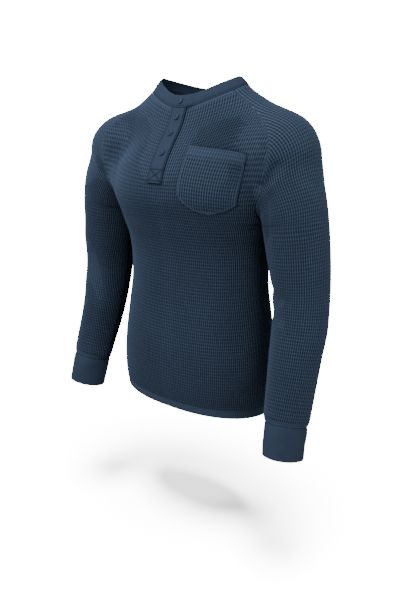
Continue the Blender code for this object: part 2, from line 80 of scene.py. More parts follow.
def shader_node(tree, kind, inputs=(), **settings):
    """A new node with its settings, and its inputs linked or set."""
    made = tree.nodes.new(kind)
    for name, value in settings.items():
        setattr(made, name, value)
    for name, value in dict(inputs).items():
        if isinstance(value, bpy.types.NodeSocket):
            tree.links.new(value, made.inputs[name])
        else:
            made.inputs[name].default_value = value
    return made


def mapped(tree, value, to_min, to_max, from_min=0.0, from_max=1.0):
    """A socket's value, moved from one range to another."""
    inputs = {"Value": value, "From Min": from_min, "From Max": from_max, "To Min": to_min, "To Max": to_max}
    return shader_node(tree, "ShaderNodeMapRange", inputs).outputs["Result"]


def white_to_camera(tree, otherwise, white):
    """A value that is one thing to the camera and another to the light that bounces."""
    return mapped(tree, shader_node(tree, "ShaderNodeLightPath").outputs["Is Camera Ray"], otherwise, white)


def lamp(name, width, height, power, degrees_from_camera, above, distance):
    """A soft light, turned round from the camera's side, that faces the top and leaves the
    floor alone."""
    data = bpy.data.lights.new(name, "AREA")
    data.shape = "RECTANGLE"
    data.size, data.size_y = width, height
    data.energy = power
    light = bpy.data.objects.new(name, data)
    bpy.context.scene.collection.objects.link(light)
    light.light_linking.receiver_collection = not_floor
    angle = CAMERA_TURN + math.radians(degrees_from_camera)
    light.location = (distance * math.sin(angle), -distance * math.cos(angle), above)
    light.rotation_euler = (Vector(LIT_POINT) - light.location).to_track_quat("-Z", "Y").to_euler()


camera_data = bpy.data.cameras.new("camera")
camera_data.sensor_fit = "VERTICAL"
camera_data.sensor_height = 36.0
camera_data.lens = CAMERA_LENS
camera = bpy.data.objects.new("camera", camera_data)
bpy.context.scene.collection.objects.link(camera)
camera.location = (CAMERA_DISTANCE * math.sin(CAMERA_TURN), -CAMERA_DISTANCE * math.cos(CAMERA_TURN),
                   CAMERA_HEIGHT)
camera.rotation_euler = (math.pi / 2 - CAMERA_TILT, 0.0, CAMERA_TURN)
bpy.context.scene.camera = camera

bpy.ops.mesh.primitive_circle_add(vertices=96, radius=FLOOR_RADIUS, fill_type="NGON",
                                  location=(0, 0, FLOOR_HEIGHT))
floor = bpy.context.object
floor.name = "floor"
bpy.ops.object.transform_apply(location=True)
pale = bpy.data.materials.new("pale floor")
pale.use_nodes = True
pale_shader = pale.node_tree.nodes["Principled BSDF"]
pale.node_tree.links.new(white_to_camera(pale.node_tree, FLOOR_THROWS_BACK, FLOOR_PALENESS),
                         pale_shader.inputs["Base Color"])
pale_shader.inputs["Roughness"].default_value = 0.9
floor.data.materials.append(pale)

room = bpy.data.worlds.new("room")
room.use_nodes = True
room.node_tree.nodes["Background"].inputs["Color"].default_value = (1.0, 1.0, 1.0, 1.0)
room.node_tree.links.new(white_to_camera(room.node_tree, ROOM_LIGHT, WHITE),
                         room.node_tree.nodes["Background"].inputs["Strength"])
bpy.context.scene.world = room

floor_sun = bpy.data.objects.new("floor_sun", bpy.data.lights.new("floor_sun", "SUN"))
floor_sun.data.energy = FLOOR_SUN * WHITE * math.pi / FLOOR_PALENESS
floor_sun.data.angle = SUN_BREADTH
floor_sun.location = (0.0, 0.0, 2.0)
floor_sun.rotation_euler = (SUN_TILT, 0.0, CAMERA_TURN)
bpy.context.scene.collection.objects.link(floor_sun)
only_floor = bpy.data.collections.new("only the floor")
not_floor = bpy.data.collections.new("all but the floor")
for group in (only_floor, not_floor):
    group.objects.link(floor)
not_floor.collection_objects[0].light_linking.link_state = "EXCLUDE"
floor_sun.light_linking.receiver_collection = only_floor

for row in LAMPS:
    lamp(*row)


# ---- Front. The largest panel: cotton waffle knit, its ribs upright, cut with a slot for the
# ---- placket. It is sewn to the back at the sides, to the sleeves along the slanting raglan
# ---- seams and to the collar, and its hem is turned up and held by two rows of stitches.

KNIT = 0.0020              # the knit's thickness, measured over its ribs
WELL = 0.0016              # how deep the wells between the ribs are
LEVEL_RIB = 0.34           # height of the level ribs, as a share of the upright ones
BETWEEN = 0.94             # height of the upright ones between two level ones
PRESSED = 0.55             # height of knit that is pressed flat
LEVEL_RIB_SHADE = 0.32     # how far the level ribs are out of the wells' painted shade
INSIDE_SHADE = 0.45        # how deep in painted shade the inside is
WALE = 0.0045              # from one upright rib to the next
COURSE = 0.0068            # from one level rib to the next
BODY_FAN = 0.26            # how much further apart the upright ribs stand at the neck
BODY_FAN_END = 0.22        # how far below the neck that ends
NARROWING = 0.06           # how much closer they stand at the hem and the cuffs
FACETS = 3                 # facets of the mesh across and down each cell of the knit
REMNANT = 0.35             # share of a facet that is too little to keep at a seam
APART = 0.00015            # what a sewn edge stays from its seam line

# Neck, body, waist and hem: half the width, and the depth to the front and to the back
SECTION_COLUMNS = ("height", "half_width", "front", "back", "squareness")
SECTIONS = [
    (-0.658, 0.184, 0.112, 0.108, 2.3),
    (-0.620, 0.184, 0.122, 0.108, 2.3),
    (-0.540, 0.179, 0.127, 0.106, 2.3),
    (-0.460, 0.168, 0.119, 0.098, 2.3),
    (-0.380, 0.158, 0.109, 0.089, 2.3),
    (-0.300, 0.160, 0.116, 0.098, 2.3),
    (-0.250, 0.172, 0.134, 0.110, 2.3),
    (-0.200, 0.180, 0.152, 0.118, 2.3),
    (-0.150, 0.168, 0.141, 0.118, 2.3),
    (-0.100, 0.140, 0.107, 0.108, 2.2),
    (-0.060, 0.110, 0.072, 0.088, 2.1),
    (-0.030, 0.093, 0.050, 0.070, 2.0),
    (0.000, 0.084, 0.034, 0.056, 2.0),
    (0.040, 0.077, 0.026, 0.048, 2.0),
]

# Arm: its axis and radius at each height, hanging slightly out and bent forward
ARM_COLUMNS = ("height", "out", "forward", "radius")
ARM = [
    (-0.702, 0.267, 0.102, 0.0430),
    (-0.639, 0.262, 0.085, 0.0450),
    (-0.510, 0.253, 0.041, 0.0510),
    (-0.387, 0.245, 0.016, 0.0530),
    (-0.300, 0.236, 0.021, 0.0580),
    (-0.200, 0.219, 0.024, 0.0610),
    (-0.130, 0.191, 0.008, 0.0630),
]
SHOULDER = (0.178, 0.000, -0.115)      # where the arm's axis ends and the yoke's begins
YOKE_START = (0.050, 0.006, -0.050)
YOKE_RADIUS = 0.062
YOKE_JOIN = 0.045                      # over this width the two yokes run into each other
BLEND = 0.050                          # how far neck, body, yoke and arm melt together
BLEND_RISE = 0.09                      # height above the armpit over which the arm's begins


def column(table, columns, name, at):
    """One column of a table at any height, as a cubic through its rows."""
    knots = np.array([row[0] for row in table])
    values = np.array([row[columns.index(name)] for row in table])
    slopes = np.gradient(values, knots)
    low = np.clip(np.searchsorted(knots, at) - 1, 0, len(knots) - 2)
    span = knots[low + 1] - knots[low]
    s = np.clip((at - knots[low]) / span, 0.0, 1.0)
    rise = values[low + 1] - values[low]
    start, end = slopes[low] * span, slopes[low + 1] * span
    return values[low] + s * (start + s * (3 * rise - 2 * start - end + s * (start + end - 2 * rise)))


def smoothstep(low, high, at):
    s = np.clip((at - low) / (high - low), 0.0, 1.0)
    return s * s * (3 - 2 * s)


def bump(at, middle, half_width):
    """1 in the middle, fading to 0 within about twice the half width."""
    return np.exp(-((at - middle) / half_width) ** 2)


def melt(first, second, width):
    """The smaller of two distances, rounded where they are nearly equal."""
    near = np.maximum(width - np.abs(first - second), 0.0) / np.maximum(width, 1e-9)
    return np.minimum(first, second) - near * near * width / 4


def torso(points):
    x, y, z = np.abs(points[..., 0]), points[..., 1], points[..., 2]
    half_width = column(SECTIONS, SECTION_COLUMNS, "half_width", z)
    front = column(SECTIONS, SECTION_COLUMNS, "front", z)
    back = column(SECTIONS, SECTION_COLUMNS, "back", z)
    power = column(SECTIONS, SECTION_COLUMNS, "squareness", z)
    depth = np.where(y < 0, front, back)
    reach = ((x / half_width) ** power + (np.abs(y) / depth) ** power) ** (1 / power)
    return np.hypot(x, y) * (1 - 1 / np.maximum(reach, 1e-6))


def arm(points):
    x, y, z = np.abs(points[..., 0]), points[..., 1], points[..., 2]
    out = column(ARM, ARM_COLUMNS, "out", z)
    forward = column(ARM, ARM_COLUMNS, "forward", z)
    radius = column(ARM, ARM_COLUMNS, "radius", z)
    rise = np.maximum(z - ARM[-1][0], 0.0)
    return np.sqrt((x - out) ** 2 + (y + forward) ** 2 + rise ** 2) - radius


def yoke(points):
    start, end = np.array(YOKE_START), np.array(SHOULDER)
    mirrored = points.copy()
    mirrored[..., 0] = -melt(-np.abs(points[..., 0]), -start[0], YOKE_JOIN)
    axis = end - start
    s = np.clip((mirrored - start) @ axis / (axis @ axis), 0.0, 1.0)
    return np.linalg.norm(mirrored - start - s[..., None] * axis, axis=-1) - YOKE_RADIUS


def upper_skin(points):
    """Body, yoke and arm as one, for everything above the armpit."""
    width = BLEND * smoothstep(ARMPIT[2], ARMPIT[2] + BLEND_RISE, points[..., 2])
    return melt(melt(torso(points), yoke(points), BLEND), arm(points), width)


WIDEST = 0.36              # further than any ray from inside has to go
HALVINGS = 24              # of the step in which a ray leaves the skin
MELT_REACH, MELT_STEPS = 0.16, 160         # on from the body or the arm to the melted skin


def cast(skin, origin, direction, start=0.0, reach=WIDEST, steps=2):
    """The first point past the start of each ray where it is outside the skin."""
    origin, direction = np.broadcast_arrays(origin, direction)
    tries = np.stack([start + step + np.zeros(origin.shape[:-1]) for step in np.linspace(0.0, reach, steps)])
    outside = np.argmax(skin(origin + tries[..., None] * direction) > 0, axis=0)[None]
    low = np.take_along_axis(tries, np.maximum(outside - 1, 0), 0)[0]
    high = np.take_along_axis(tries, outside, 0)[0]
    for _ in range(HALVINGS):
        middle = (low + high) / 2
        inside = skin(origin + middle[..., None] * direction) < 0
        low, high = np.where(inside, middle, low), np.where(inside, high, middle)
    return origin + low[..., None] * direction


def cast_from(member, origin, direction):
    """The point where each ray leaves the melted skin, followed on from the body or the arm."""
    start = np.linalg.norm(cast(member, origin, direction) - origin, axis=-1)
    return cast(upper_skin, origin, direction, start + 0.00005, MELT_REACH, MELT_STEPS)


def around(skin, angle, height):
    """The skin's point at an angle from the front, towards the wearer's left, and a height."""
    angle, height = np.broadcast_arrays(np.asarray(angle, float), np.asarray(height, float))
    flat = np.zeros(angle.shape)
    origin = np.stack([flat, flat, height], -1)
    direction = np.stack([np.sin(angle), -np.cos(angle), flat], -1)
    return cast(torso, origin, direction) if skin is torso else cast_from(torso, origin, direction)


def unit(vectors):
    return vectors / np.linalg.norm(vectors, axis=-1, keepdims=True)


def outward(skin, points):
    """Outward directions of the skin at points, from how its distance changes."""
    step = 0.0002
    parts = [skin(points + step * np.eye(3)[i]) - skin(points - step * np.eye(3)[i]) for i in range(3)]
    return unit(np.stack(parts, -1))


def net_outward(skin, net):
    """Outward directions of a net. Its end columns take theirs from further in, so that two
    walls lean apart in a crease."""
    points = net.copy()
    points[:, 0] += 0.8 * (net[:, 1] - net[:, 0])
    points[:, -1] += 0.8 * (net[:, -2] - net[:, -1])
    return outward(skin, points)


def find_armpit():
    """Where the arm, followed down, first comes clear of the side of the body."""
    for height in np.arange(-0.17, -0.33, -0.0005):
        side = around(torso, np.radians(np.arange(70, 111)), height)
        clear = arm(side)
        if clear.min() > 0.0008:
            return side[clear.argmin()]
    raise ValueError("the arm never leaves the body")


ARMPIT = find_armpit()
ARMPIT_ANGLE = math.atan2(ARMPIT[0], -ARMPIT[1])

# Folds and creases of the worn cloth: soft troughs along lines, each pushed in by a vector.
# The broad rows come of one shoulder being held lower than the other; the last two shape the
# cloth between chest and right arm, and the edge of the left sleeve below the arm. Each row is
# the line's start and end, the trough's half width and its push.
FOLDS = [
    ((0.215, -0.075, -0.138), (0.190, -0.083, -0.174), 0.010, (-0.0020, 0.0065, 0.0)),  # left armpit
    ((-0.213, -0.066, -0.136), (-0.190, -0.082, -0.176), 0.012, (0.0015, 0.0045, 0.0)),  # right armpit
    ((-0.252, -0.069, -0.362), (-0.228, -0.074, -0.458), 0.013, (0.0015, 0.0040, 0.0)),  # right elbow
    ((0.200, -0.038, -0.372), (0.228, -0.070, -0.384), 0.010, (0.0030, 0.0035, 0.0)),   # left elbow
    ((0.204, -0.044, -0.420), (0.232, -0.078, -0.424), 0.012, (0.0025, 0.0030, 0.0)),
    ((0.150, 0.088, -0.235), (0.070, 0.098, -0.340), 0.020, (0.0, -0.0045, 0.0)),     # back, below the arms
    ((-0.152, 0.086, -0.230), (-0.080, 0.098, -0.352), 0.018, (0.0, -0.0040, 0.0)),
    ((-0.070, 0.094, -0.405), (0.090, 0.092, -0.415), 0.020, (0.0, -0.0035, 0.0)),    # small of the back
    ((0.225, 0.040, -0.360), (0.268, 0.036, -0.372), 0.012, (0.0, -0.0030, 0.0)),     # elbows, behind
    ((-0.225, 0.040, -0.352), (-0.268, 0.036, -0.366), 0.012, (0.0, -0.0030, 0.0)),
    ((-0.150, 0.010, -0.055), (-0.205, 0.005, -0.080), 0.040, (0.0, 0.0, -0.0100)),   # right shoulder,
    ((-0.240, -0.040, -0.125), (-0.265, -0.045, -0.155), 0.045, (-0.0120, 0.0, 0.0)),  # lower and rounder
    ((-0.275, -0.045, -0.335), (-0.285, -0.060, -0.420), 0.040, (-0.0060, 0.0, 0.0)),
    ((0.130, 0.010, -0.045), (0.215, 0.000, -0.085), 0.040, (0.0, 0.0, 0.0060)),      # left one, higher
    ((0.262, 0.010, -0.170), (0.285, -0.020, -0.440), 0.050, (0.0075, 0.0, 0.0)),
    ((-0.150, -0.085, -0.115), (-0.157, -0.085, -0.185), 0.024, (-0.0020, -0.0080, 0.0)),
    ((0.197, -0.079, -0.190), (0.194, -0.076, -0.260), 0.013, (0.0055, 0.0040, 0.0)),
]


def folded(points):
    """The points pushed by the vectors of the folds that they lie near."""
    points = points.copy()
    for start, end, half_width, push in FOLDS:
        start, line = np.array(start), np.subtract(end, start)
        share = np.clip((points - start) @ line / (line @ line), 0.0, 1.0)
        away = np.linalg.norm(points - start - share[..., None] * line, axis=-1) / half_width
        points += np.exp(-away ** 2)[..., None] * push
    return points


# Seams: where the panels' edges run on the skin
NECK_FRONT, NECK_SIDE, NECK_BACK = -0.041, 0.000, -0.023
HEM = -0.658
SLOT_HALF = 3 * WALE       # half the width of the slot that the placket closes
SLOT_END = -0.1694
HEM_BAND = 0.018           # height of the hem's turned-up band
HEM_ROWS = (HEM_BAND - 0.006, HEM_BAND)    # heights of its two rows of stitches

# Raglan seams: their angle about the body, from the front. Their height above the armpit is
# the rise squared, so that the table is even in the crease where arm and body meet.
RAGLAN_COLUMNS = ("rise", "front", "back")
RAGLAN = [
    (0.00, 84.0, 84.0),
    (0.10, 80.0, 87.7),
    (0.20, 76.5, 90.8),
    (0.30, 72.3, 94.9),
    (0.40, 68.4, 98.8),
    (0.50, 66.3, 102.5),
    (0.60, 66.6, 105.5),
    (0.70, 67.8, 109.0),
    (0.80, 69.3, 110.5),
    (0.85, 71.2, 110.3),
    (0.90, 74.3, 108.5),
    (0.95, 76.3, 106.5),
    (1.00, 73.6, 105.5),
]


def ring_height(angle, front, side, back):
    """Height of a line round the neck that dips at the front and at the back."""
    ahead = np.cos(angle)
    return side + np.where(ahead > 0, front - side, back - side) * np.abs(ahead) ** 1.25


def neck_height(angle):
    return ring_height(angle, NECK_FRONT, NECK_SIDE, NECK_BACK)


def lengths(line):
    """How far along a line of points each of them lies."""
    return np.concatenate([[0.0], np.cumsum(np.linalg.norm(np.diff(line, axis=0), axis=1))])


def spaced(line, count):
    """Points at equal steps along a line of points."""
    along = lengths(line)
    at = np.linspace(0.0, along[-1], count)
    return np.stack([np.interp(at, along, line[:, i]) for i in range(3)], -1)


def raglan(name, count):
    """The front or back raglan seam of the left side, from the neck to the armpit."""
    degrees = [row[RAGLAN_COLUMNS.index(name)] for row in RAGLAN]
    rise = np.linspace(1.0, 0.0, 240)
    angle = np.radians(np.interp(rise, [row[0] for row in RAGLAN], degrees))
    height = ARMPIT[2] + (neck_height(angle[0]) - ARMPIT[2]) * rise ** 2
    points = around(upper_skin, angle, height)
    points[-1] = ARMPIT
    return spaced(points, count)


NET_ABOVE, NET_BELOW = 20, 20          # rows of a panel's net above and below the armpit
NET_HALF = 40                          # its columns from the middle to either seam
NET_RAYS = 160                         # rays that find each half of a row


def body_net(name):
    """Points and outward directions of the front or back, on rows from its right to its left
    seam, with even steps from the middle column to either seam."""
    middle = 0.0 if name == "front" else math.pi
    seam = raglan(name, NET_ABOVE + 1)
    below = np.linspace(ARMPIT[2], HEM, NET_BELOW + 1)[1:]
    side = np.interp(below, [HEM, ARMPIT[2]], [math.pi / 2, ARMPIT_ANGLE])
    edge_angle = np.concatenate([np.arctan2(seam[:, 0], -seam[:, 1]), side])
    edge_height = np.concatenate([seam[:, 2], below])
    start = float(neck_height(middle))
    centre_height = np.concatenate([np.linspace(start, ARMPIT[2], NET_ABOVE + 1), below])

    half = np.abs(edge_angle - middle)[:, None]
    angle = middle + half * np.linspace(-1, 1, 2 * NET_RAYS + 1)
    droop = (centre_height - edge_height) / (centre_height[0] - edge_height[0])
    height = edge_height[:, None] + (neck_height(angle[0]) - edge_height[0]) * droop[:, None]
    points = np.concatenate([around(upper_skin, angle[:NET_ABOVE], height[:NET_ABOVE]),
                             around(torso, angle[NET_ABOVE:], height[NET_ABOVE:])])
    right = np.array([spaced(row[:NET_RAYS + 1], NET_HALF + 1) for row in points])
    left = np.array([spaced(row[NET_RAYS:], NET_HALF + 1) for row in points])
    net = np.concatenate([right, left[:, 1:]], axis=1)
    out = np.concatenate([net_outward(upper_skin, net[:NET_ABOVE]), net_outward(torso, net[NET_ABOVE:])])
    return net, out


def curve_weights(s):
    """Shares of four neighbouring points in a smooth curve, a share s past the second one."""
    return (((2 - s) * s - 1) * s / 2, ((3 * s - 5) * s * s + 2) / 2,
            ((4 - 3 * s) * s + 1) * s / 2, (s - 1) * s * s / 2)


def sampled(net, down, across):
    """A net's points between its rows and columns, on smooth curves through them."""
    down, across = np.broadcast_arrays(down, across)
    wide = np.concatenate([2 * net[:1] - net[1:2], net, 2 * net[-1:] - net[-2:-1]])
    wide = np.concatenate([2 * wide[:, :1] - wide[:, 1:2], wide, 2 * wide[:, -1:] - wide[:, -2:-1]], axis=1)
    row = np.clip(down.astype(int), 0, len(net) - 2)
    place = np.clip(across.astype(int), 0, len(net[0]) - 2)
    found = 0.0
    for i, row_share in enumerate(curve_weights(down - row)):
        for k, place_share in enumerate(curve_weights(across - place)):
            found = found + (row_share * place_share)[..., None] * wide[row + i, place + k]
    return found


def knit_grid(net, net_out, middle, fan, fan_end):
    """The panel's own cells: wales either side of its middle line, fanned out towards the
    neck and cut off at its seams, and courses at even distances along that line.

    Returns points and outward directions by course and wale, the facets at which they stand,
    their distances to the nearest side seam, and whose place each has, because the points
    past a seam are drawn onto it."""
    step = WALE / FACETS
    first = np.linalg.norm(np.diff(net[:, :middle + 1], axis=1), axis=2).sum(axis=1)
    last = np.linalg.norm(np.diff(net[:, middle:], axis=1), axis=2).sum(axis=1)
    along = lengths(net[:, middle])
    rows = FACETS * round(along[-1] / COURSE)
    down = np.interp(np.linspace(APART, along[-1], rows + 1), along, np.arange(len(net)))
    first = np.interp(down, np.arange(len(net)), first)
    last = np.interp(down, np.arange(len(net)), last)
    high_up = 1 - smoothstep(0.02, fan_end, np.linspace(0.0, along[-1], rows + 1))[:, None]
    even = np.arange(math.ceil(1.1 * max(first.max(), last.max()) / step)) * step
    fanned = even + (fan * high_up - NARROWING) * np.maximum(even - SLOT_HALF, 0.0)
    first_cut = np.argmax(fanned >= first[:, None] - REMNANT * step, axis=1)
    last_cut = np.argmax(fanned >= last[:, None] - REMNANT * step, axis=1)
    most = [FACETS * math.ceil(cut.max() / FACETS) for cut in (first_cut, last_cut)]
    wale = np.arange(-most[0], most[1] + 1)
    kept = np.clip(wale, -first_cut[:, None], last_cut[:, None])
    at = np.sign(kept) * np.take_along_axis(fanned, np.abs(kept), axis=1)
    at = np.where(kept == -first_cut[:, None], APART - first[:, None], at)
    at = np.where(kept == last_cut[:, None], last[:, None] - APART, at)
    across = middle * (1 + at / first[:, None])
    across = np.where(at > 0, middle + (net.shape[1] - 1 - middle) * at / last[:, None], across)
    return {
        "points": sampled(net, down[:, None], across),
        "out": unit(sampled(net_out, down[:, None], across)),
        "wale": np.broadcast_to(wale, at.shape),
        "course": np.broadcast_to(np.arange(rows + 1)[:, None], at.shape),
        "own": np.arange(rows + 1)[:, None] * len(wale) + kept - wale[0],
        "edge": np.minimum(at + first[:, None], last[:, None] - at),
    }


def ribs(grid, on_level):
    """Height of the knit: 1 on its upright ribs, lower on its level ribs, 0 in its wells."""
    upright = grid["wale"] % FACETS == 0
    level = grid["course"] % FACETS == 0
    return np.where(upright, np.where(level, 1.0, BETWEEN), np.where(level, on_level, 0.0))


def knitted(name, grid, flatness, lift, material, slot=(0, 0), tube_from=None, thickness=KNIT):
    """A closed wall of knit. Its face has every facet, its inside one for each cell.

    flatness is 1 where the knit is pressed flat and lift raises the face; the cells of the
    first rows are left out up to the slot's columns on either side of the middle, and from
    tube_from on the first and last columns are one."""
    rows, columns = grid["own"].shape
    height = ribs(grid, LEVEL_RIB) * (1 - flatness) + PRESSED * flatness
    outer = grid["points"] + (lift - WELL * (1 - height))[..., None] * grid["out"]
    inner = grid["points"] + (lift - thickness)[..., None] * grid["out"]

    own = grid["own"].copy()
    if tube_from is not None:
        tube = own[tube_from:]
        own[tube_from:] = np.where(tube == tube[:, -1:], tube[:, :1], tube)
    under = own + rows * columns
    coarse = np.arange(0, rows, FACETS), np.arange(0, columns, FACETS)
    middle = int(-grid["wale"][0, 0])
    slot_rows, slot_half = slot

    def quads(index, row_at, column_at, turned):
        a, b = index[np.ix_(row_at[:-1], column_at[:-1])], index[np.ix_(row_at[1:], column_at[:-1])]
        c, d = index[np.ix_(row_at[1:], column_at[1:])], index[np.ix_(row_at[:-1], column_at[1:])]
        shown = np.ones(a.shape, bool)
        if slot_rows:
            left = (column_at[:-1] >= middle - slot_half) & (column_at[:-1] < middle + slot_half)
            shown[np.ix_(row_at[:-1] < slot_rows, left)] = False
        order = ((a, b, c), (a, c, d))
        return [np.stack(corners[::-1] if turned else corners, -1)[shown] for corners in order]

    def rim(fine, lining):
        """Triangles between an edge of the face and the same edge of the inside."""
        near = np.repeat(np.arange(len(lining)), FACETS)[FACETS // 2:][:len(fine)]
        one = np.stack([fine[1:], fine[:-1], lining[near[:-1]]], -1)
        two = np.stack([fine[1:], lining[near[:-1]], lining[near[1:]]], -1)
        return [one, two]

    triangles = quads(own, np.arange(rows), np.arange(columns), False)
    triangles += quads(under, *coarse, True)
    top, bottom = own[0], own[-1]
    if slot_rows:
        left, right = middle - slot_half, middle + slot_half
        triangles += rim(top[:left + 1][::-1], under[0, :left + 1:FACETS][::-1])
        triangles += rim(top[right:][::-1], under[0, right::FACETS][::-1])
        triangles += rim(own[:slot_rows + 1, left][::-1], under[:slot_rows + 1:FACETS, left][::-1])
        triangles += rim(own[:slot_rows + 1, right], under[:slot_rows + 1:FACETS, right])
        triangles += rim(own[slot_rows, left:right + 1][::-1], under[slot_rows, left:right + 1:FACETS][::-1])
    else:
        triangles += rim(top[::-1], under[0, ::FACETS][::-1])
    triangles += rim(bottom, under[-1, ::FACETS])
    end = rows - 1 if tube_from is None else tube_from
    triangles += rim(own[:end + 1, 0], under[:end + 1:FACETS, 0])
    triangles += rim(own[:end + 1, -1][::-1], under[:end + 1:FACETS, -1][::-1])

    triangles = np.concatenate([part.reshape(-1, 3) for part in triangles])
    whole = (triangles != np.roll(triangles, 1, axis=1)).all(axis=1)
    triangles = triangles[whole]
    used, index = np.unique(triangles, return_inverse=True)
    places = np.concatenate([outer.reshape(-1, 3), inner.reshape(-1, 3)])
    cell = np.stack([grid["wale"] / FACETS, grid["course"] / FACETS], -1).reshape(-1, 2)
    # Painted shade: the colour is darkened in the wells and a little on the inside, and lightened on the ribs
    # as a painted highlight, for the shade and light of the knit's relief.
    wells = 1 - ribs(grid, LEVEL_RIB_SHADE) * (1 - flatness) - PRESSED * flatness
    wells = np.concatenate([wells.ravel(), np.full(rows * columns, INSIDE_SHADE)])
    pattern = np.tile(cell, (2, 1))
    return meshed(name, places[used], index.reshape(-1, 3), material, pattern[used], wells[used])


def meshed(name, points, faces, material, pattern, wells=None):
    """A piece from its points, folded, and its faces, with its pattern's coordinates."""
    data = bpy.data.meshes.new(name)
    data.from_pydata(folded(points).tolist(), [], faces.tolist())
    corners = np.empty(len(data.loops), dtype=np.int32)
    data.loops.foreach_get("vertex_index", corners)
    data.uv_layers.new(name="knit").data.foreach_set("uv", pattern[corners].astype(np.float32).ravel())
    # The attribute carries depths of painted shade and painted light for the colour.
    if wells is not None:
        data.attributes.new("painted_shade", "FLOAT", "POINT").data.foreach_set("value", wells.astype(np.float32))
    data.shade_smooth()
    data.set_sharp_from_angle(angle=math.radians(80))
    data.materials.append(material)
    piece = bpy.data.objects.new(name, data)
    bpy.context.scene.collection.objects.link(piece)
    return piece


def stands_for(piece, node):
    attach(piece, "root")
    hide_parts(node)


def maths(tree, operation, *values):
    """The result of a Math node on sockets and numbers."""
    return shader_node(tree, "ShaderNodeMath", dict(enumerate(values)), operation=operation).outputs[0]


# Yarn: rows of small loops, each a V, that a knit shows from close by
LOOP_PARTING = 2.5         # how deep the line between two columns of loops is
loops = bpy.data.node_groups.new("knit loops", "ShaderNodeTree")
loops.interface.new_socket("Place", in_out="INPUT", socket_type="NodeSocketVector")
loops.interface.new_socket("Height", in_out="OUTPUT", socket_type="NodeSocketFloat")
group_in = loops.nodes.new("NodeGroupInput")
group_out = loops.nodes.new("NodeGroupOutput")
place = shader_node(loops, "ShaderNodeSeparateXYZ", {"Vector": group_in.outputs["Place"]})
aside = maths(loops, "SUBTRACT", maths(loops, "FRACT", place.outputs["X"]), 0.5)
aside = maths(loops, "ABSOLUTE", aside)
slanted = maths(loops, "ADD", place.outputs["Y"], aside)
wave = maths(loops, "SINE", maths(loops, "MULTIPLY", slanted, 2 * math.pi))
parted = maths(loops, "SUBTRACT", maths(loops, "MULTIPLY", aside, LOOP_PARTING), wave)
loops.links.new(parted, group_out.inputs["Height"])


BLOTCH_SCALE, FIBRE_SCALE = 9.0, 420.0     # of the dye's unevenness and of the fibres, per metre
UNEVENNESS = 0.14          # how much the two lighten and darken the colour
CREVICE = 0.12             # how far off a neighbouring part casts painted shade on the cloth's colour
YARN_STRENGTH, YARN_HEIGHT = 0.35, 0.0003


def cloth(name, color, roughness, loops_per_cell, wells, crevice_shade_power=0.0):
    """Dyed cotton: the colour a little uneven, with loops of yarn as bump. Its colour also carries painted
    shade in the knit's wells and a painted highlight on its ribs, from the points' painted shade attribute,
    and painted shade where neighbouring parts close in, the colour raised to a power of the openness there."""
    material = bpy.data.materials.new(name)
    material.use_nodes = True
    tree = material.node_tree
    shader = tree.nodes["Principled BSDF"]
    pattern = shader_node(tree, "ShaderNodeUVMap", uv_map="knit")
    scaled = shader_node(tree, "ShaderNodeVectorMath", {0: pattern.outputs["UV"], 1: loops_per_cell},
                         operation="MULTIPLY")
    yarn = shader_node(tree, "ShaderNodeGroup", node_tree=loops)
    tree.links.new(scaled.outputs[0], yarn.inputs["Place"])
    where = shader_node(tree, "ShaderNodeTexCoord").outputs["Object"]
    blotch = shader_node(tree, "ShaderNodeTexNoise", {"Vector": where, "Scale": BLOTCH_SCALE, "Detail": 3.0})
    fibre = shader_node(tree, "ShaderNodeTexNoise", {"Vector": where, "Scale": FIBRE_SCALE, "Detail": 2.0})
    both = maths(tree, "ADD", blotch.outputs["Fac"], fibre.outputs["Fac"])
    shade = mapped(tree, both, 1.0 - UNEVENNESS, 1.0 + UNEVENNESS, 0.6, 1.4)
    # Painted shade and painted highlight: the attribute's depths darken the colour in wells and lighten it on
    # ribs.
    if wells:
        depth = shader_node(tree, "ShaderNodeAttribute", attribute_name="painted_shade")
        dark = mapped(tree, depth.outputs["Fac"], 1.0 + wells / 2, 1.0 - wells)
        shade = maths(tree, "MULTIPLY", shade, dark)
    # Painted shade: the colour darkened where neighbouring parts close in, from ambient occlusion.
    if crevice_shade_power:
        openness = shader_node(tree, "ShaderNodeAmbientOcclusion", {"Distance": CREVICE}, samples=8)
        shade = maths(tree, "MULTIPLY", shade, maths(tree, "POWER", openness.outputs["AO"], crevice_shade_power))
    tint = shader_node(tree, "ShaderNodeVectorMath", {0: color, "Scale": shade}, operation="SCALE")
    relief = shader_node(tree, "ShaderNodeBump", {"Height": yarn.outputs["Height"], "Strength": YARN_STRENGTH,
                                                  "Distance": YARN_HEIGHT})
    tree.links.new(tint.outputs[0], shader.inputs["Base Color"])
    tree.links.new(relief.outputs["Normal"], shader.inputs["Normal"])
    shader.inputs["Roughness"].default_value = roughness
    shader.inputs["Specular IOR Level"].default_value = 0.1
    return material


# 0.64 is the strength of the painted shade in the wells and the painted highlight on the ribs; 1.6 the power
# of the painted shade between neighbouring parts.
waffle = cloth("waffle knit", (0.053, 0.081, 0.136), 0.92, (3.0, 5.0, 1.0), 0.64, crevice_shade_power=1.6)

front_net, front_net_out = body_net("front")
front_grid = knit_grid(front_net, front_net_out, NET_HALF, BODY_FAN, BODY_FAN_END)

SEAM_PRESS = (0.0003, 0.0024)      # flat up to the first distance from a seam, whole from the second
NECK_PRESS = (0.001, 0.006)        # likewise below the collar
SEAM_DIP = 0.0006                  # how far the face sinks at a seam
HEM_FLATNESS = 0.45                # of the hem's two layers
HEM_STEP = 0.001                   # half the height over which they end
HEM_ROW_PRESS, HEM_ROW_WIDTH = 0.0014, 0.0012      # what a row of stitches flattens and draws in
HEM_ROW_DIP = 0.0003


def above_end(grid):
    """Distances of a panel's points above its lower end, along its middle line."""
    return (len(grid["course"]) - 1 - grid["course"]) * COURSE / FACETS


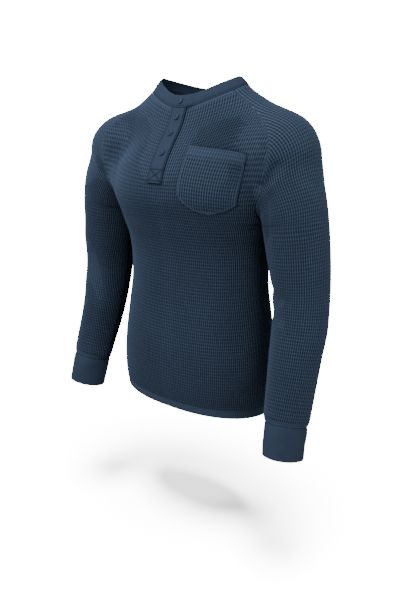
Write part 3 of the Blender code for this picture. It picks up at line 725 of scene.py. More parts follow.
def pressed_at_seams(grid):
    """How flat the knit is pressed beside the seams and below the collar."""
    below_neck = grid["course"] * COURSE / FACETS
    beside = 1 - smoothstep(*SEAM_PRESS, grid["edge"])
    return np.maximum(beside, 1 - smoothstep(*NECK_PRESS, below_neck))


def seam_dip(grid):
    """How far the face sinks beside the seams."""
    return -SEAM_DIP * (1 - smoothstep(0.0, SEAM_PRESS[1], grid["edge"]))


def body_cloth(name, grid, slot=(0, 0)):
    """The front or the back, flatter in the hem's two layers and drawn in by its stitches."""
    above_hem = above_end(grid)
    turned_up = HEM_FLATNESS * (1 - smoothstep(HEM_BAND - HEM_STEP, HEM_BAND + HEM_STEP, above_hem))
    flattened, drawn_in = (sum(bump(above_hem, row, width) for row in HEM_ROWS)
                           for width in (HEM_ROW_PRESS, HEM_ROW_WIDTH))
    flatness = np.maximum.reduce([pressed_at_seams(grid), turned_up, np.minimum(flattened, 1.0)])
    return knitted(name, grid, flatness, seam_dip(grid) - HEM_ROW_DIP * drawn_in, waffle, slot=slot)


centre_line = front_net[:, NET_HALF]
slot_length = np.interp(-SLOT_END, -centre_line[:, 2], lengths(centre_line))
slot_rows = FACETS * round(slot_length / COURSE)
front = body_cloth("front_cloth", front_grid, slot=(slot_rows, 3 * FACETS))
stands_for(front, "front")


# ---- Back. The same knit, a little higher at the neck, sewn to the front and sleeves.

back_net, back_net_out = body_net("back")
back = body_cloth("back_cloth", knit_grid(back_net, back_net_out, NET_HALF, BODY_FAN, BODY_FAN_END))
stands_for(back, "back")


# ---- Sleeves. One panel each, from the neck over the shoulder to the cuff, with the knit's
# ---- upright ribs running down the arm, closed by a seam under the arm.

TUBE_START = ARMPIT[2] + 0.01      # where the arm's axis passes the first closed ring
SLEEVE_RINGS, GATHER_RINGS = 26, 6         # rings of the net below it, and how many are gathered
SIDE_COLUMNS = 24          # columns of the net from the sleeve's top line to either seam
CUFF_SEAM = -0.626         # height where the arm's axis passes the cuff seam
TOP_FAN = (0.130, -0.200)  # where, across and up, the rays that find the top line start
SLEEVE_FAN, SLEEVE_FAN_END = 0.55, 0.30
GATHER_LENGTH = 0.018      # over this length the sleeve's end is drawn in to the cuff
GATHER = 0.055             # by this share
CUFF_PRESS = 0.006         # over this length it is pressed flat
RIGHT_WRIST_SHIFT = (-0.004, 0.006, 0.014)
RIGHT_ARM_SHIFTED = (-0.65, -0.25)         # heights where all of the shift has come, and where it starts


def arm_axis(height):
    """The arm's axis at a height, and its direction towards the wrist."""
    def place(at):
        out = column(ARM, ARM_COLUMNS, "out", at)
        forward = column(ARM, ARM_COLUMNS, "forward", at)
        return np.array([float(out), -float(forward), at])
    along = place(height - 0.005) - place(height + 0.005)
    return place(height), along / np.linalg.norm(along)


def spokes(height, count):
    """A point of the arm's axis, and directions square to the axis, once round from the
    underarm over the front, outside and back."""
    centre, along = arm_axis(height)
    outwards = np.cross([0.0, -1.0, 0.0], along)
    outwards /= np.linalg.norm(outwards)
    turn = np.linspace(-math.pi, math.pi, count + 1)[:, None]
    ray = np.cos(turn) * outwards + np.sin(turn) * np.cross(outwards, along)
    ray[-1] = ray[0]
    return centre, ray


def top_line(count):
    """The sleeve's line from the neck over the shoulder to the outside of the arm."""
    neck = around(upper_skin, math.pi / 2, NECK_SIDE)
    centre, along = arm_axis(TUBE_START)
    end = cast(arm, centre, unit(np.array([-along[2], 0.0, along[0]])))
    share = np.linspace(0, 1, 200)
    turn = [math.atan2(point[0] - TOP_FAN[0], point[2] - TOP_FAN[1]) for point in (neck, end)]
    turn = turn[0] + (turn[1] - turn[0]) * share
    origin = np.stack([0 * share + TOP_FAN[0], share * end[1], 0 * share + TOP_FAN[1]], -1)
    points = cast_from(torso, origin, np.stack([np.sin(turn), 0 * turn, np.cos(turn)], -1))
    points[0], points[-1] = neck, end
    return spaced(points, count)


def half_ring(centre, top, seam, forward):
    """Points on the skin from the top line to a raglan seam, as an arc seen from the centre."""
    first, last = unit(top - centre), unit(seam - centre)
    aside = np.array([0.0, forward, 0.0])
    aside = unit(aside - (aside @ first) * first)
    half_turn = math.acos(max(-1.0, min(1.0, first @ last))) / 2
    s = np.linspace(0, 1, 80)[:, None]
    ray = ((1 - s) ** 2 * first + s ** 2 * last
           + 2 * s * (1 - s) * (math.cos(half_turn) * first + math.sin(half_turn) * aside))
    points = cast_from(arm, centre, unit(ray))
    points[0] = top
    return spaced(points, SIDE_COLUMNS + 1)


def cap_rings():
    """The open rings between the raglan seams; the last one closes at the armpit."""
    fronts, backs = raglan("front", NET_ABOVE + 1), raglan("back", NET_ABOVE + 1)
    tops = top_line(NET_ABOVE + 1)
    rings = []
    for row, (front_end, back_end, top) in enumerate(zip(fronts, backs, tops)):
        between = (front_end + back_end) / 2
        centre = between + (1.5 * row / NET_ABOVE - 1.0) * (top - between)
        if row == 0:
            ends = [math.atan2(point[0], -point[1]) for point in (front_end, top, back_end)]
            ring = [spaced(around(upper_skin, np.linspace(a, b, 40), neck_height(np.linspace(a, b, 40))),
                           SIDE_COLUMNS + 1) for a, b in zip(ends, ends[1:])]
        else:
            ring = [half_ring(centre, top, front_end, -1.0)[::-1], half_ring(centre, top, back_end, 1.0)]
        ring = np.concatenate([ring[0], ring[1][1:]])
        if row < NET_ABOVE:
            ring[0], ring[-1] = front_end, back_end
        rings.append(ring)
    return np.array(rings)


def arm_rings():
    """Closed rings square to the arm's axis, from below the armpit to the cuff seam."""
    ease = CUFF_SEAM + GATHER_LENGTH
    heights = np.concatenate([np.linspace(TUBE_START, ease, SLEEVE_RINGS - GATHER_RINGS + 1)[1:],
                              np.linspace(ease, CUFF_SEAM, GATHER_RINGS + 1)[1:]])
    rings = []
    for height in heights:
        centre, ray = spokes(height, 2 * SIDE_COLUMNS)
        drawn_in = GATHER * max(0.0, (ease - height) / GATHER_LENGTH) ** 2.2
        rings.append(centre + (1 - drawn_in) * (cast(arm, centre, ray) - centre))
    return np.array(rings)


cap, tube = cap_rings(), arm_rings()
sleeve_net = np.concatenate([cap, tube])
sleeve_net_out = np.concatenate([net_outward(upper_skin, cap[:-1]), net_outward(arm, cap[-1:]),
                                 outward(arm, tube)])
sleeve_grid = knit_grid(sleeve_net, sleeve_net_out, SIDE_COLUMNS, SLEEVE_FAN, SLEEVE_FAN_END)
tube_from = FACETS * math.ceil(lengths(sleeve_net[:, SIDE_COLUMNS])[NET_ABOVE] / COURSE)


def held_apart(points):
    """The right arm's points, moved more and more towards its wrist."""
    share = 1 - smoothstep(*RIGHT_ARM_SHIFTED, points[..., 2])
    return points + share[..., None] * RIGHT_WRIST_SHIFT


def to_right(grid):
    """The left side's grid as the wearer's right side has it, with its arm held a little apart."""
    right = dict(grid)
    for name in ("points", "out"):
        right[name] = grid[name][:, ::-1] * [-1, 1, 1]
    right["points"] = held_apart(right["points"])
    for name in ("course", "edge"):
        right[name] = grid[name][:, ::-1]
    right["wale"] = -grid["wale"][:, ::-1]
    rows, columns = divmod(grid["own"][:, ::-1], grid["own"].shape[1])
    right["own"] = (rows + 1) * grid["own"].shape[1] - 1 - columns
    return right


for side, grid in (("left", sleeve_grid), ("right", to_right(sleeve_grid))):
    flatness = np.maximum(pressed_at_seams(grid), 1 - smoothstep(0.0, CUFF_PRESS, above_end(grid)))
    sleeve = knitted(f"sleeve_cloth_{side}", grid, flatness, seam_dip(grid), waffle, tube_from=tube_from)
    stands_for(sleeve, f"sleeve_{side}")


# ---- Pocket. A patch of the same knit on the wearer's left chest. Its mouth is turned down in
# ---- a stitched band, its sides and pointed foot are turned under and stitched to the front.

# Distance to the wearer's left, and heights of the mouth and of the foot
POCKET = [
    (0.0505, -0.1065, -0.1930),
    (0.0640, -0.1080, -0.2075),
    (0.0790, -0.1100, -0.2190),
    (0.0930, -0.1117, -0.2245),
    (0.1080, -0.1136, -0.2255),
    (0.1230, -0.1156, -0.2225),
    (0.1360, -0.1173, -0.2170),
    (0.1480, -0.1190, -0.2090),
]
POCKET_SPREAD = 0.008      # how much wider the mouth is than the foot, at the outer side
POCKET_BAND = 0.019        # height of the band at its mouth
POCKET_GAPE = 0.0016       # how far the mouth stands off
POCKET_GAPE_DEPTH = 0.060  # and down to where
POCKET_LEAN = 0.93         # its height for each length of it, as the chest leans
POCKET_STITCHES = 0.0028   # what its side stitches run inside its edges
POCKET_STITCH = (0.0026, 0.0012)       # length of a stitch and of the gap after it
BAND_RAISED, BAND_FLATNESS = 0.0005, 0.35
BAND_ROW_WIDTH, BAND_ROW_DIP = 0.0012, 0.0004      # the row of stitches along its band,
SIDE_ROW_WIDTH, SIDE_ROW_DIP = 0.0009, 0.0003      # and those along its sides and foot
EDGE_PRESS, EDGE_ROUNDING = 0.0030, 0.0016         # how far in its edges are flat, and curve down
EDGE_DIP, MOUTH_DIP = 0.0006, 0.0005
LAYER_GAP = 0.0005         # what a piece stays above the panel that it lies on


def front_at(across, height):
    """The front's point at a distance to the wearer's left and a height."""
    across, height = np.broadcast_arrays(np.asarray(across, float), np.asarray(height, float))
    return cast(upper_skin, np.stack([across, 0 * across, height], -1), np.array([0.0, -1.0, 0.0]))


def pocket_grid():
    """The pocket's cells. Points below its foot are drawn up onto it."""
    across, mouth, foot = np.array(POCKET).T
    level = lengths(front_at(np.linspace(across[0], across[-1], 60), np.mean(foot) / 2 + np.mean(mouth) / 2))
    columns = FACETS * round(level[-1] / WALE)
    x = np.interp(np.linspace(0, level[-1], columns + 1), level, np.linspace(across[0], across[-1], 60))
    mouth, foot = np.interp(x, across, mouth), np.interp(x, across, foot)
    drop = COURSE / FACETS * POCKET_LEAN
    rows = FACETS * math.ceil((mouth - foot).max() / drop / FACETS)
    last = np.ceil((mouth - foot) / drop - REMNANT).astype(int)
    course = np.arange(rows + 1)[:, None]
    kept = np.minimum(course, last)
    height = np.where(kept == last, foot, mouth - kept * drop)
    share = (height - foot) / (mouth - foot)
    x_at = x + POCKET_SPREAD * share * (x - across[0]) / (across[-1] - across[0])
    points = front_at(x_at, height)
    column_at = np.broadcast_to(np.arange(columns + 1), height.shape)
    side = np.minimum(column_at, columns - column_at) * WALE / FACETS
    slant = np.cos(np.arctan(np.gradient(foot, x)))
    return {
        "points": points,
        "out": outward(upper_skin, points),
        "wale": column_at - FACETS * (columns // (2 * FACETS)),
        "course": np.broadcast_to(course, height.shape),
        "own": kept * (columns + 1) + column_at,
        "edge": np.minimum(side, (height - foot) / POCKET_LEAN * slant),
        "from_mouth": (mouth - height) / POCKET_LEAN,
        "share": column_at / columns,
    }


pocket_cells = pocket_grid()
to_edge, from_mouth = pocket_cells["edge"], pocket_cells["from_mouth"]
turned_down = 1 - smoothstep(POCKET_BAND - 0.001, POCKET_BAND + 0.001, from_mouth)
band_line = bump(from_mouth, POCKET_BAND, BAND_ROW_WIDTH)
side_line = bump(to_edge, POCKET_STITCHES, SIDE_ROW_WIDTH)
pressed = np.maximum.reduce([BAND_FLATNESS * turned_down, band_line, 0.8 * side_line,
                             1 - smoothstep(0.0, EDGE_PRESS, to_edge)])
gape = POCKET_GAPE * (1 - smoothstep(0.0, POCKET_GAPE_DEPTH, from_mouth))
lift = (LAYER_GAP + KNIT + gape * np.sin(math.pi * pocket_cells["share"]) ** 0.7
        + BAND_RAISED * turned_down - BAND_ROW_DIP * band_line - SIDE_ROW_DIP * side_line
        - EDGE_DIP * (1 - smoothstep(0.0, EDGE_ROUNDING, to_edge))
        - MOUTH_DIP * bump(from_mouth, 0.0, 0.001))
pocket = knitted("pocket_patch", pocket_cells, pressed, lift, waffle)
stands_for(pocket, "pocket")


# ---- Collar. A band of plain knit folded double round the neck. The wearer's left end laps
# ---- over the right one, and a row of stitches runs above its seam.

RIB = 0.0022               # thickness of the doubled plain knit
BAND_FRONT, BAND_SIDE, BAND_BACK = -0.0185, 0.017, -0.006   # height of the upper edge
LAP = 0.016                # how far each end passes the centre line
COLLAR_BULGE = 0.0008
COLLAR_STITCHES = 0.86     # share of the band's height at which its stitches run
COLLAR_DROP = 0.985        # share of the way down to the seam line that the band reaches
COLLAR_TURNS = 420         # steps round the neck
YARN_ACROSS, YARN_ALONG = 0.0012, 0.0010   # size of the plain knit's loops
PLAIN_SHADE = 0.33         # how deep in painted shade the plain knit's face is
STITCH_WIDTH = 0.0010      # half width of the groove along a row of stitches
STITCH_SHADE, STITCH_DIP = 0.22, 0.0003    # what the row adds to the painted shade, and sinks
SEAM_SHADE, INSIDE_LIGHT = 1.5, -1.5       # painted shade at a band's seam edge, and painted light on its inside
SEAM_TUCK = (0.0004, 0.0001)       # what the first two points at its seam are drawn in
BAND_POINTS = 22           # of a band's section, up its face and again down its inside

# 0.7 is the strength of the painted shade in its stitch grooves and at its seams, and of the painted light on
# a band's inside.
plain = cloth("plain knit", (0.0285, 0.0440, 0.076), 0.9, (1.0, 1.0, 1.0), 0.7)


def lofted(name, sections, closed, material, pattern, wells):
    """A piece through closed sections, with its ends capped or its last section the first."""
    count, around_it = sections.shape[:2]
    index = np.arange(count * around_it).reshape(count, around_it)
    beyond = np.roll(index, -1, axis=0) if closed else index[1:]
    near = index if closed else index[:-1]
    ahead, ahead_beyond = np.roll(near, -1, axis=1), np.roll(beyond, -1, axis=1)
    faces = [np.stack([near, beyond, ahead_beyond], -1), np.stack([near, ahead_beyond, ahead], -1)]
    if not closed:
        for ends, turned in ((index[0], 1), (index[-1], -1)):
            near, far = ends[:(around_it + 1) // 2], ends[::-1][:(around_it + 1) // 2]
            faces.append(np.stack([near[:-1], near[1:], far[1:]], -1)[:, ::turned])
            faces.append(np.stack([near[:-1], far[1:], far[:-1]], -1)[:, ::turned])
    faces = np.concatenate([part.reshape(-1, 3) for part in faces])
    faces = faces[(faces != np.roll(faces, 1, axis=1)).all(axis=1)]
    wells = np.broadcast_to(wells, sections.shape[:2]).ravel()
    return meshed(name, sections.reshape(-1, 3), faces, material, pattern.reshape(-1, 2), wells)


def yarn_pattern(across, along):
    """The plain knit's coordinates, in loops, from distances on a piece."""
    return np.stack(np.broadcast_arrays(across / YARN_ACROSS, along / YARN_ALONG), -1)


def band_profile(height, stitches=()):
    """A folded band's section as distances down from its fold, offsets from its face and depths of painted
    shade: up the face, round the fold and down the inside."""
    half = RIB / 2
    face = np.linspace(height, half, BAND_POINTS)
    fold = np.linspace(0, math.pi, 7)[1:-1]
    inside = np.linspace(half, height, BAND_POINTS)
    down = np.concatenate([face, half - half * np.sin(fold), inside])
    off = np.concatenate([0 * face, half * np.cos(fold) - half, 0 * inside - RIB])
    shade = np.zeros(down.shape)
    # Painted shade in the grooves of the rows of stitches.
    for at in stitches:
        shade[:BAND_POINTS] += bump(face, at, STITCH_WIDTH)
    off -= STITCH_DIP * shade
    off[:2] -= SEAM_TUCK
    # Painted shade along the seam edge, and painted light on the inside.
    shade[0] = SEAM_SHADE
    shade[BAND_POINTS:] = INSIDE_LIGHT
    return down, off, PLAIN_SHADE + STITCH_SHADE * shade


depth = abs(front_at(0.0, NECK_FRONT)[1])
lap = math.atan2(LAP, depth)
full = 2 * math.pi
turn = np.linspace(-full - lap, lap, COLLAR_TURNS)
base = around(upper_skin, turn, neck_height(turn))
edge = around(upper_skin, turn, ring_height(turn, BAND_FRONT, BAND_SIDE, BAND_BACK))
tall = np.linalg.norm(edge - base, axis=1)
along_band = unit(np.gradient(base + edge, axis=0))
collar_out = unit(np.cross(along_band, edge - base))
raised = (RIB + LAYER_GAP) * (1 - smoothstep(-full + 1.1 * lap, -full + 2.4 * lap, turn))
down, off, shade = band_profile(tall.mean(), stitches=[tall.mean() * COLLAR_STITCHES])
share = down / tall.mean() * COLLAR_DROP
waves = 0.00025 * np.sin(turn * 9) + 0.0002 * np.sin(turn * 23 + 1.0)
stands_off = raised[:, None] + waves[:, None] * (1 - share) + COLLAR_BULGE * np.sin(math.pi * share) + off
sections = edge[:, None] + share[:, None] * (base - edge)[:, None]
sections = sections + stands_off[..., None] * collar_out[:, None]
pattern = yarn_pattern(lengths(base)[:, None], down)
collar = lofted("collar_band", sections, False, plain, pattern, shade)
stands_for(collar, "collar")


# ---- Placket. A strip of the plain knit over the slot's edges, stitched along both sides and
# ---- closed at its foot by a box with a cross in it, and a second layer below it in the slot.

PLACKET_HALF = 0.0165      # half its width
PLACKET_END = -0.1745      # height of its foot
PLACKET_STITCHES = 0.0022  # what its side stitches run inside its edges
PLACKET_ROUNDING, PLACKET_DROP = 0.0022, 0.0015    # width over which its edges curve down, and how far
BOX_TOP, BOX_FOOT = -0.1500, -0.1700       # heights of its box of stitches
GROOVE_DEPTH, GROOVE_SHADE = 0.0004, 0.55          # of its rows of stitches: the groove's depth, and the painted shade in it
PLACKET_LENGTH, UNDER_LENGTH = 0.135, 0.130        # for the loops down them
PLACKET_ROWS, UNDER_ROWS = 150, 40
UNDER_TOP = NECK_FRONT - 0.0008

across = np.linspace(-PLACKET_HALF, PLACKET_HALF, 41)
top = np.array([float(neck_height(math.atan2(x, depth))) for x in across]) - 0.0003
height = top + np.linspace(0, 1, PLACKET_ROWS)[:, None] * (PLACKET_END - top)
points = front_at(across, height)
out = outward(upper_skin, points)
box_half = PLACKET_HALF - PLACKET_STITCHES
groove = bump(np.abs(across), box_half, 0.0009)
groove = groove + bump(height, BOX_TOP, STITCH_WIDTH) + bump(height, BOX_FOOT, STITCH_WIDTH)
slope = (BOX_TOP - BOX_FOOT) / (2 * box_half)
in_box = (np.abs(across) < box_half) & (height < BOX_TOP) & (height > BOX_FOOT)
for rise in (slope, -slope):
    away = np.abs(height - (BOX_TOP + BOX_FOOT) / 2 - rise * across) / math.hypot(1, slope)
    groove = groove + np.where(in_box, bump(away, 0.0, STITCH_WIDTH), 0.0)
to_edge = np.minimum(PLACKET_HALF - np.abs(across), (height - PLACKET_END) * 1.1)
groove = np.minimum(groove, 1.0)
rounded = PLACKET_DROP * (1 - smoothstep(0.0, PLACKET_ROUNDING, to_edge)) ** 2
uneven = 0.0002 * np.sin(height * 210 + across * 60)
face = LAYER_GAP + RIB - GROOVE_DEPTH * groove - rounded + uneven
sections = np.concatenate([points + face[..., None] * out, (points + LAYER_GAP * out)[:, ::-1]], axis=1)
along = np.linspace(0, PLACKET_LENGTH, PLACKET_ROWS)[:, None]
pattern = yarn_pattern(np.concatenate([across, across[::-1]]), along)
# Painted shade in the grooves of its stitches.
shade = PLAIN_SHADE + GROOVE_SHADE * np.concatenate([groove, 0 * groove], axis=1)
placket = lofted("placket_strip", sections, False, plain, pattern, shade)
stands_for(placket, "placket")

across = np.linspace(LAYER_GAP - SLOT_HALF, SLOT_HALF - LAYER_GAP, 9)
height = UNDER_TOP + np.linspace(0, 1, UNDER_ROWS)[:, None] * (SLOT_END - UNDER_TOP)
points = front_at(across, height)
out = outward(upper_skin, points)
sections = np.concatenate([points, (points - RIB * out)[:, ::-1]], axis=1)
along = np.linspace(0, UNDER_LENGTH, UNDER_ROWS)[:, None]
pattern = yarn_pattern(np.concatenate([across, across[::-1]]), along)
under = lofted("placket_under_strip", sections, False, plain, pattern, PLAIN_SHADE)
stands_for(under, "placket_under")


# ---- Cuffs. Tubes of the plain knit folded double, a little narrower than the sleeves' ends,
# ---- which are eased into them.

CUFF_END = -0.690          # height where the arm's axis passes the cuff's edge
CUFF_COLUMNS = ("down", "radius")
CUFF = [(0.0, 0.0412), (0.12, 0.0422), (0.55, 0.0418), (1.0, 0.0410)]
CUFF_SPOKES = 120
CUFF_MIDDLE = 0.0415       # its radius, for the loops round it

length = CUFF_SEAM - CUFF_END
down, off, shade = band_profile(length)
down = length - down
radius = column(CUFF, CUFF_COLUMNS, "radius", down / length) + off
ring_of = [spokes(CUFF_SEAM - at, CUFF_SPOKES) for at in down]
turn = np.linspace(-math.pi, math.pi, CUFF_SPOKES + 1)[:, None]
crumple = 0.0005 * np.sin(3 * turn + 60 * down) + 0.0004 * np.sin(5 * turn - 110 * down + 1.0)
crumple *= np.sin(math.pi * np.clip(down / length, 0, 1))
rings = [centre + (radius[i] + crumple[:, i, None]) * ray for i, (centre, ray) in enumerate(ring_of)]
sections = np.stack(rings, axis=1)[:0:-1]
pattern = yarn_pattern(turn[:0:-1] * CUFF_MIDDLE, down)
for side in ("left", "right"):
    places = sections
    if side == "right":
        places = held_apart((sections * [-1, 1, 1])[::-1])
    cuff = lofted(f"cuff_band_{side}", places, True, plain, pattern, shade)
    stands_for(cuff, f"cuff_{side}")


# ---- Raglan seam allowances. Inside the top, the two edges of each raglan seam are overlocked
# ---- together and lie flat as a narrow band along the seam, from the neck down.

ALLOWANCE = 0.008          # width of the band
ALLOWANCE_TOP = KNIT + 0.0004      # depth of its two faces below the panels' face
ALLOWANCE_FOOT = KNIT + 0.0012
ALLOWANCE_ROWS = 90        # on the whole seam, of which the band has the first
ALLOWANCE_END = 70
ALLOWANCE_TUCK = 0.0015    # what it runs up behind the collar

section = np.array([(-ALLOWANCE / 2, ALLOWANCE_TOP), (ALLOWANCE / 2, ALLOWANCE_TOP),
                    (ALLOWANCE / 2, ALLOWANCE_FOOT), (-ALLOWANCE / 2, ALLOWANCE_FOOT)])
for name in ("front", "back"):
    for side, mirror in (("left", 1), ("right", -1)):
        seam = raglan(name, ALLOWANCE_ROWS)[:ALLOWANCE_END]
        out = outward(upper_skin, seam) * [mirror, 1, 1]
        seam[0] += ALLOWANCE_TUCK * unit(seam[0] - seam[1])
        seam = seam * [mirror, 1, 1]
        aside = unit(np.cross(out, np.gradient(seam, axis=0)))
        sections = seam[:, None] + section[:, :1] * aside[:, None] - section[:, 1:] * out[:, None]
        pattern = yarn_pattern(section[:, 0], lengths(seam)[:, None])
        band = lofted(f"raglan_allowance_{name}_{side}", sections, False, plain, pattern, PLAIN_SHADE)
        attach(band, "root")


# ---- Stitches. Rows of short raised thread in the cloth's own colour, at the collar, placket
# ---- and pocket. Those of the hem lie sunk between its ribs and are only drawn into its knit.

THREAD = 0.00028           # the thread's radius
THREAD_SIDES = 5
THREAD_LOOPS = 0.0005      # size of the loops on it
FINE_STITCH = (0.0024, 0.0010)         # length of a stitch and of the gap after it
STITCH_STEP = 0.0008       # either way from a stitch's middle, to find which way it runs
SUNK = 0.0002              # how far the rows lie below the cloth's face
# A stitch's rings: places along it as shares of its length, radii and heights in thread's radii
STITCH = [(-0.50, 0.4, -0.5), (-0.28, 1.0, 0.6), (0.28, 1.0, 0.6), (0.50, 0.4, -0.5)]

thread = cloth("sewing thread", (0.024, 0.044, 0.078), 0.8, (1.0, 1.0, 1.0), 0.0)


def along_line(values, along, at):
    """Points or directions of a line at distances along it."""
    return np.stack([np.interp(at, along, values[:, i]) for i in range(3)], -1)


def sewn(name, rows):
    """Stitches along rows, each a line of points, their outward directions, and the lengths of
    a stitch and of the gap after it."""
    turn = np.arange(THREAD_SIDES) * 2 * math.pi / THREAD_SIDES
    points, faces = [], []
    for line, out, (stitch, gap) in rows:
        along = lengths(line)
        count = int(along[-1] / (stitch + gap))
        at = (np.arange(count) + 0.5) * along[-1] / count
        centre, up = along_line(line, along, at), along_line(out, along, at)
        ahead = unit(along_line(line, along, at + STITCH_STEP) - along_line(line, along, at - STITCH_STEP))
        aside = unit(np.cross(up, ahead))
        up = np.cross(ahead, aside)
        for c, a, s, u in zip(centre, ahead, aside, up):
            start = len(points) * THREAD_SIDES
            for share, thick, high in STITCH:
                points.append(c + share * stitch * a + high * THREAD * u
                              + THREAD * thick * (np.cos(turn)[:, None] * s + np.sin(turn)[:, None] * u))
            for band in range(len(STITCH) - 1):
                for k in range(THREAD_SIDES):
                    one = start + band * THREAD_SIDES + k
                    two = start + band * THREAD_SIDES + (k + 1) % THREAD_SIDES
                    faces += [(one, two, two + THREAD_SIDES), (one, two + THREAD_SIDES, one + THREAD_SIDES)]
            end = start + (len(STITCH) - 1) * THREAD_SIDES
            faces += [(start, start + k + 1, start + k) for k in range(1, THREAD_SIDES - 1)]
            faces += [(end, end + k, end + k + 1) for k in range(1, THREAD_SIDES - 1)]
    points = np.concatenate(points)
    piece = meshed(name, points, np.array(faces), thread, points[:, :2] / THREAD_LOOPS)
    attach(piece, "root")


def on_front(x, z, offset):
    points = front_at(x, z)
    out = outward(upper_skin, points)
    return points + offset * out, out


proud = LAYER_GAP + RIB - SUNK
side_heights = np.linspace(float(neck_height(0.2)) - 0.001, BOX_FOOT, 60)
level = np.linspace(-box_half, box_half, 16)
lines = [(x + 0 * side_heights, side_heights) for x in (-box_half, box_half)]
lines += [(level, z + 0 * level) for z in (BOX_TOP, BOX_FOOT)]
lines += [(level, (BOX_TOP + BOX_FOOT) / 2 + rise * level) for rise in (slope, -slope)]
placket_rows = [(*on_front(x, z, proud), FINE_STITCH) for x, z in lines]
sewn("placket_stitches", placket_rows)

at = COLLAR_STITCHES * COLLAR_DROP
stands_off = raised + COLLAR_BULGE * math.sin(math.pi * at) - SUNK
line = edge + at * (base - edge) + stands_off[:, None] * collar_out
sewn("collar_stitches", [(line, collar_out, FINE_STITCH)])

surface, pocket_out = pocket_cells["points"] + lift[..., None] * pocket_cells["out"], pocket_cells["out"]
band_row = round(POCKET_BAND / (COURSE / FACETS))
side_column = round(POCKET_STITCHES / (WALE / FACETS))
rows = [(surface[band_row], pocket_out[band_row], POCKET_STITCH)]
rows += [(surface[:, k], pocket_out[:, k], POCKET_STITCH) for k in (side_column, -1 - side_column)]
sewn("pocket_stitches", rows)


# ---- Buttons. Four small four-hole buttons of dyed resin, with a rim round a shallow dish,
# ---- sewn on through their holes: one on the collar's lapped end, three down the placket.

BUTTON_RADIUS = 0.0055
BUTTON_THICKNESS = 0.0022
BUTTON_RIM = 0.0011        # width of the rim round the dish
BUTTON_DISH = 0.0006       # depth of the dish
BUTTON_HOLE_RADIUS = 0.0008
BUTTON_HOLE_OFFSET = 0.0012        # of the holes from the middle, both ways
BUTTON_ROUNDING = 0.00025
DISH_CUTTER, HOLE_CUTTER = 0.002, 0.006    # heights of the tools that they are cut with
HOLE_CUTTER_MIDDLE = 0.001
BUTTON_SIDES, BUTTON_HOLE_SIDES = 40, 14
STRAND_OFFSET = 0.00025    # of each pair's two strands from their middle line
STRAND_HALF = (BUTTON_HOLE_OFFSET + 0.0005, 0.00024, 0.00042)      # half its length, width, height
RESIN_COLOUR = (0.027, 0.044, 0.079)
RESIN_CLOUDS = 260.0       # scale of the clouds in it, per metre
FIRST_TURN, NEXT_TURN = -12, 8     # degrees that the buttons are turned about their middles

resin = bpy.data.materials.new("dyed resin")
resin.use_nodes = True
shader = resin.node_tree.nodes["Principled BSDF"]
where = shader_node(resin.node_tree, "ShaderNodeTexCoord").outputs["Object"]
cloud = shader_node(resin.node_tree, "ShaderNodeTexNoise", {"Vector": where, "Scale": RESIN_CLOUDS})
shade = mapped(resin.node_tree, cloud.outputs["Fac"], 0.85, 1.15)
tint = shader_node(resin.node_tree, "ShaderNodeVectorMath", {0: RESIN_COLOUR, "Scale": shade},
                   operation="SCALE")
resin.node_tree.links.new(tint.outputs[0], shader.inputs["Base Color"])
shader.inputs["Roughness"].default_value = 0.5
shader.inputs["Specular IOR Level"].default_value = 0.16


def drum(radius, depth, height, sides):
    bpy.ops.mesh.primitive_cylinder_add(vertices=sides, radius=radius, depth=depth, location=(0, 0, height))
    bpy.ops.object.transform_apply(location=True)
    return bpy.context.object


def modified(piece, kind, **settings):
    """The piece with a modifier applied to it."""
    modifier = piece.modifiers.new("modifier", kind)
    for name, value in settings.items():
        setattr(modifier, name, value)
    bpy.context.view_layer.objects.active = piece
    bpy.ops.object.modifier_apply(modifier=modifier.name)


def carve(piece, tool):
    """Cuts the tool out of the piece."""
    modified(piece, "BOOLEAN", operation="DIFFERENCE", object=tool)
    bpy.data.objects.remove(tool, do_unlink=True)


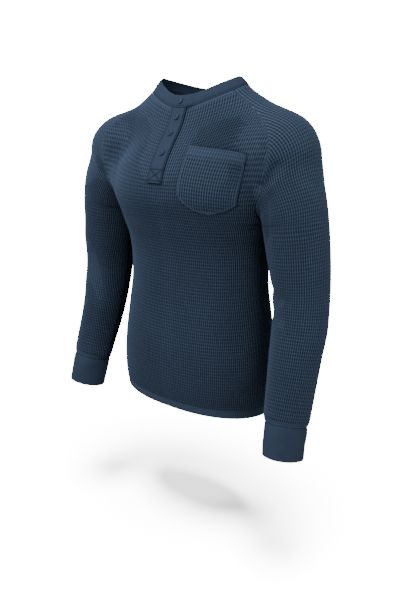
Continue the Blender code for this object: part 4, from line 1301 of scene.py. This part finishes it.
pattern_button = drum(BUTTON_RADIUS, BUTTON_THICKNESS, BUTTON_THICKNESS / 2, BUTTON_SIDES)
dish_height = BUTTON_THICKNESS - BUTTON_DISH
dish = drum(BUTTON_RADIUS - BUTTON_RIM, DISH_CUTTER, dish_height + DISH_CUTTER / 2, BUTTON_SIDES)
carve(pattern_button, dish)
for x in (-BUTTON_HOLE_OFFSET, BUTTON_HOLE_OFFSET):
    for y in (-BUTTON_HOLE_OFFSET, BUTTON_HOLE_OFFSET):
        hole = drum(BUTTON_HOLE_RADIUS, HOLE_CUTTER, HOLE_CUTTER_MIDDLE, BUTTON_HOLE_SIDES)
        hole.data.transform(Matrix.Translation((x, y, 0)))
        carve(pattern_button, hole)
modified(pattern_button, "BEVEL", width=BUTTON_ROUNDING, segments=2, limit_method="ANGLE")
bpy.ops.object.select_all(action="DESELECT")
pattern_button.select_set(True)
bpy.ops.object.shade_smooth_by_angle(angle=math.radians(35))
pattern_button.data.materials.append(resin)

strands = bmesh.new()
for y in (-BUTTON_HOLE_OFFSET, BUTTON_HOLE_OFFSET):
    for offset in (-STRAND_OFFSET, STRAND_OFFSET):
        place = Matrix.Translation((0, y + offset, dish_height)) @ Matrix.Diagonal((*STRAND_HALF, 1.0))
        bmesh.ops.create_uvsphere(strands, u_segments=10, v_segments=8, radius=1.0, matrix=place)
thread_data = bpy.data.meshes.new("button thread")
strands.to_mesh(thread_data)
strands.free()
thread_data.shade_smooth()
thread_data.materials.append(thread)

for number in range(1, 5):
    low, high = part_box(f"button_{number}")
    middle = (Vector(low) + Vector(high)) / 2
    out = Vector(outward(upper_skin, np.array(middle)[None])[0])
    facing = out.to_track_quat("Z", "Y").to_matrix().to_4x4()
    turn = Matrix.Rotation(math.radians(FIRST_TURN + NEXT_TURN * (number - 1)), 4, "Z")
    placed = Matrix.Translation(middle) @ facing @ turn
    for pattern, name in ((pattern_button.data, "button"), (thread_data, "button_thread")):
        data = pattern.copy()
        data.transform(placed @ Matrix.Translation((0, 0, -BUTTON_THICKNESS / 2)))
        piece = bpy.data.objects.new(f"{name}_piece_{number}", data)
        bpy.context.scene.collection.objects.link(piece)
        if name == "button":
            stands_for(piece, f"button_{number}")
        else:
            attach(piece, "root")
bpy.data.objects.remove(pattern_button, do_unlink=True)
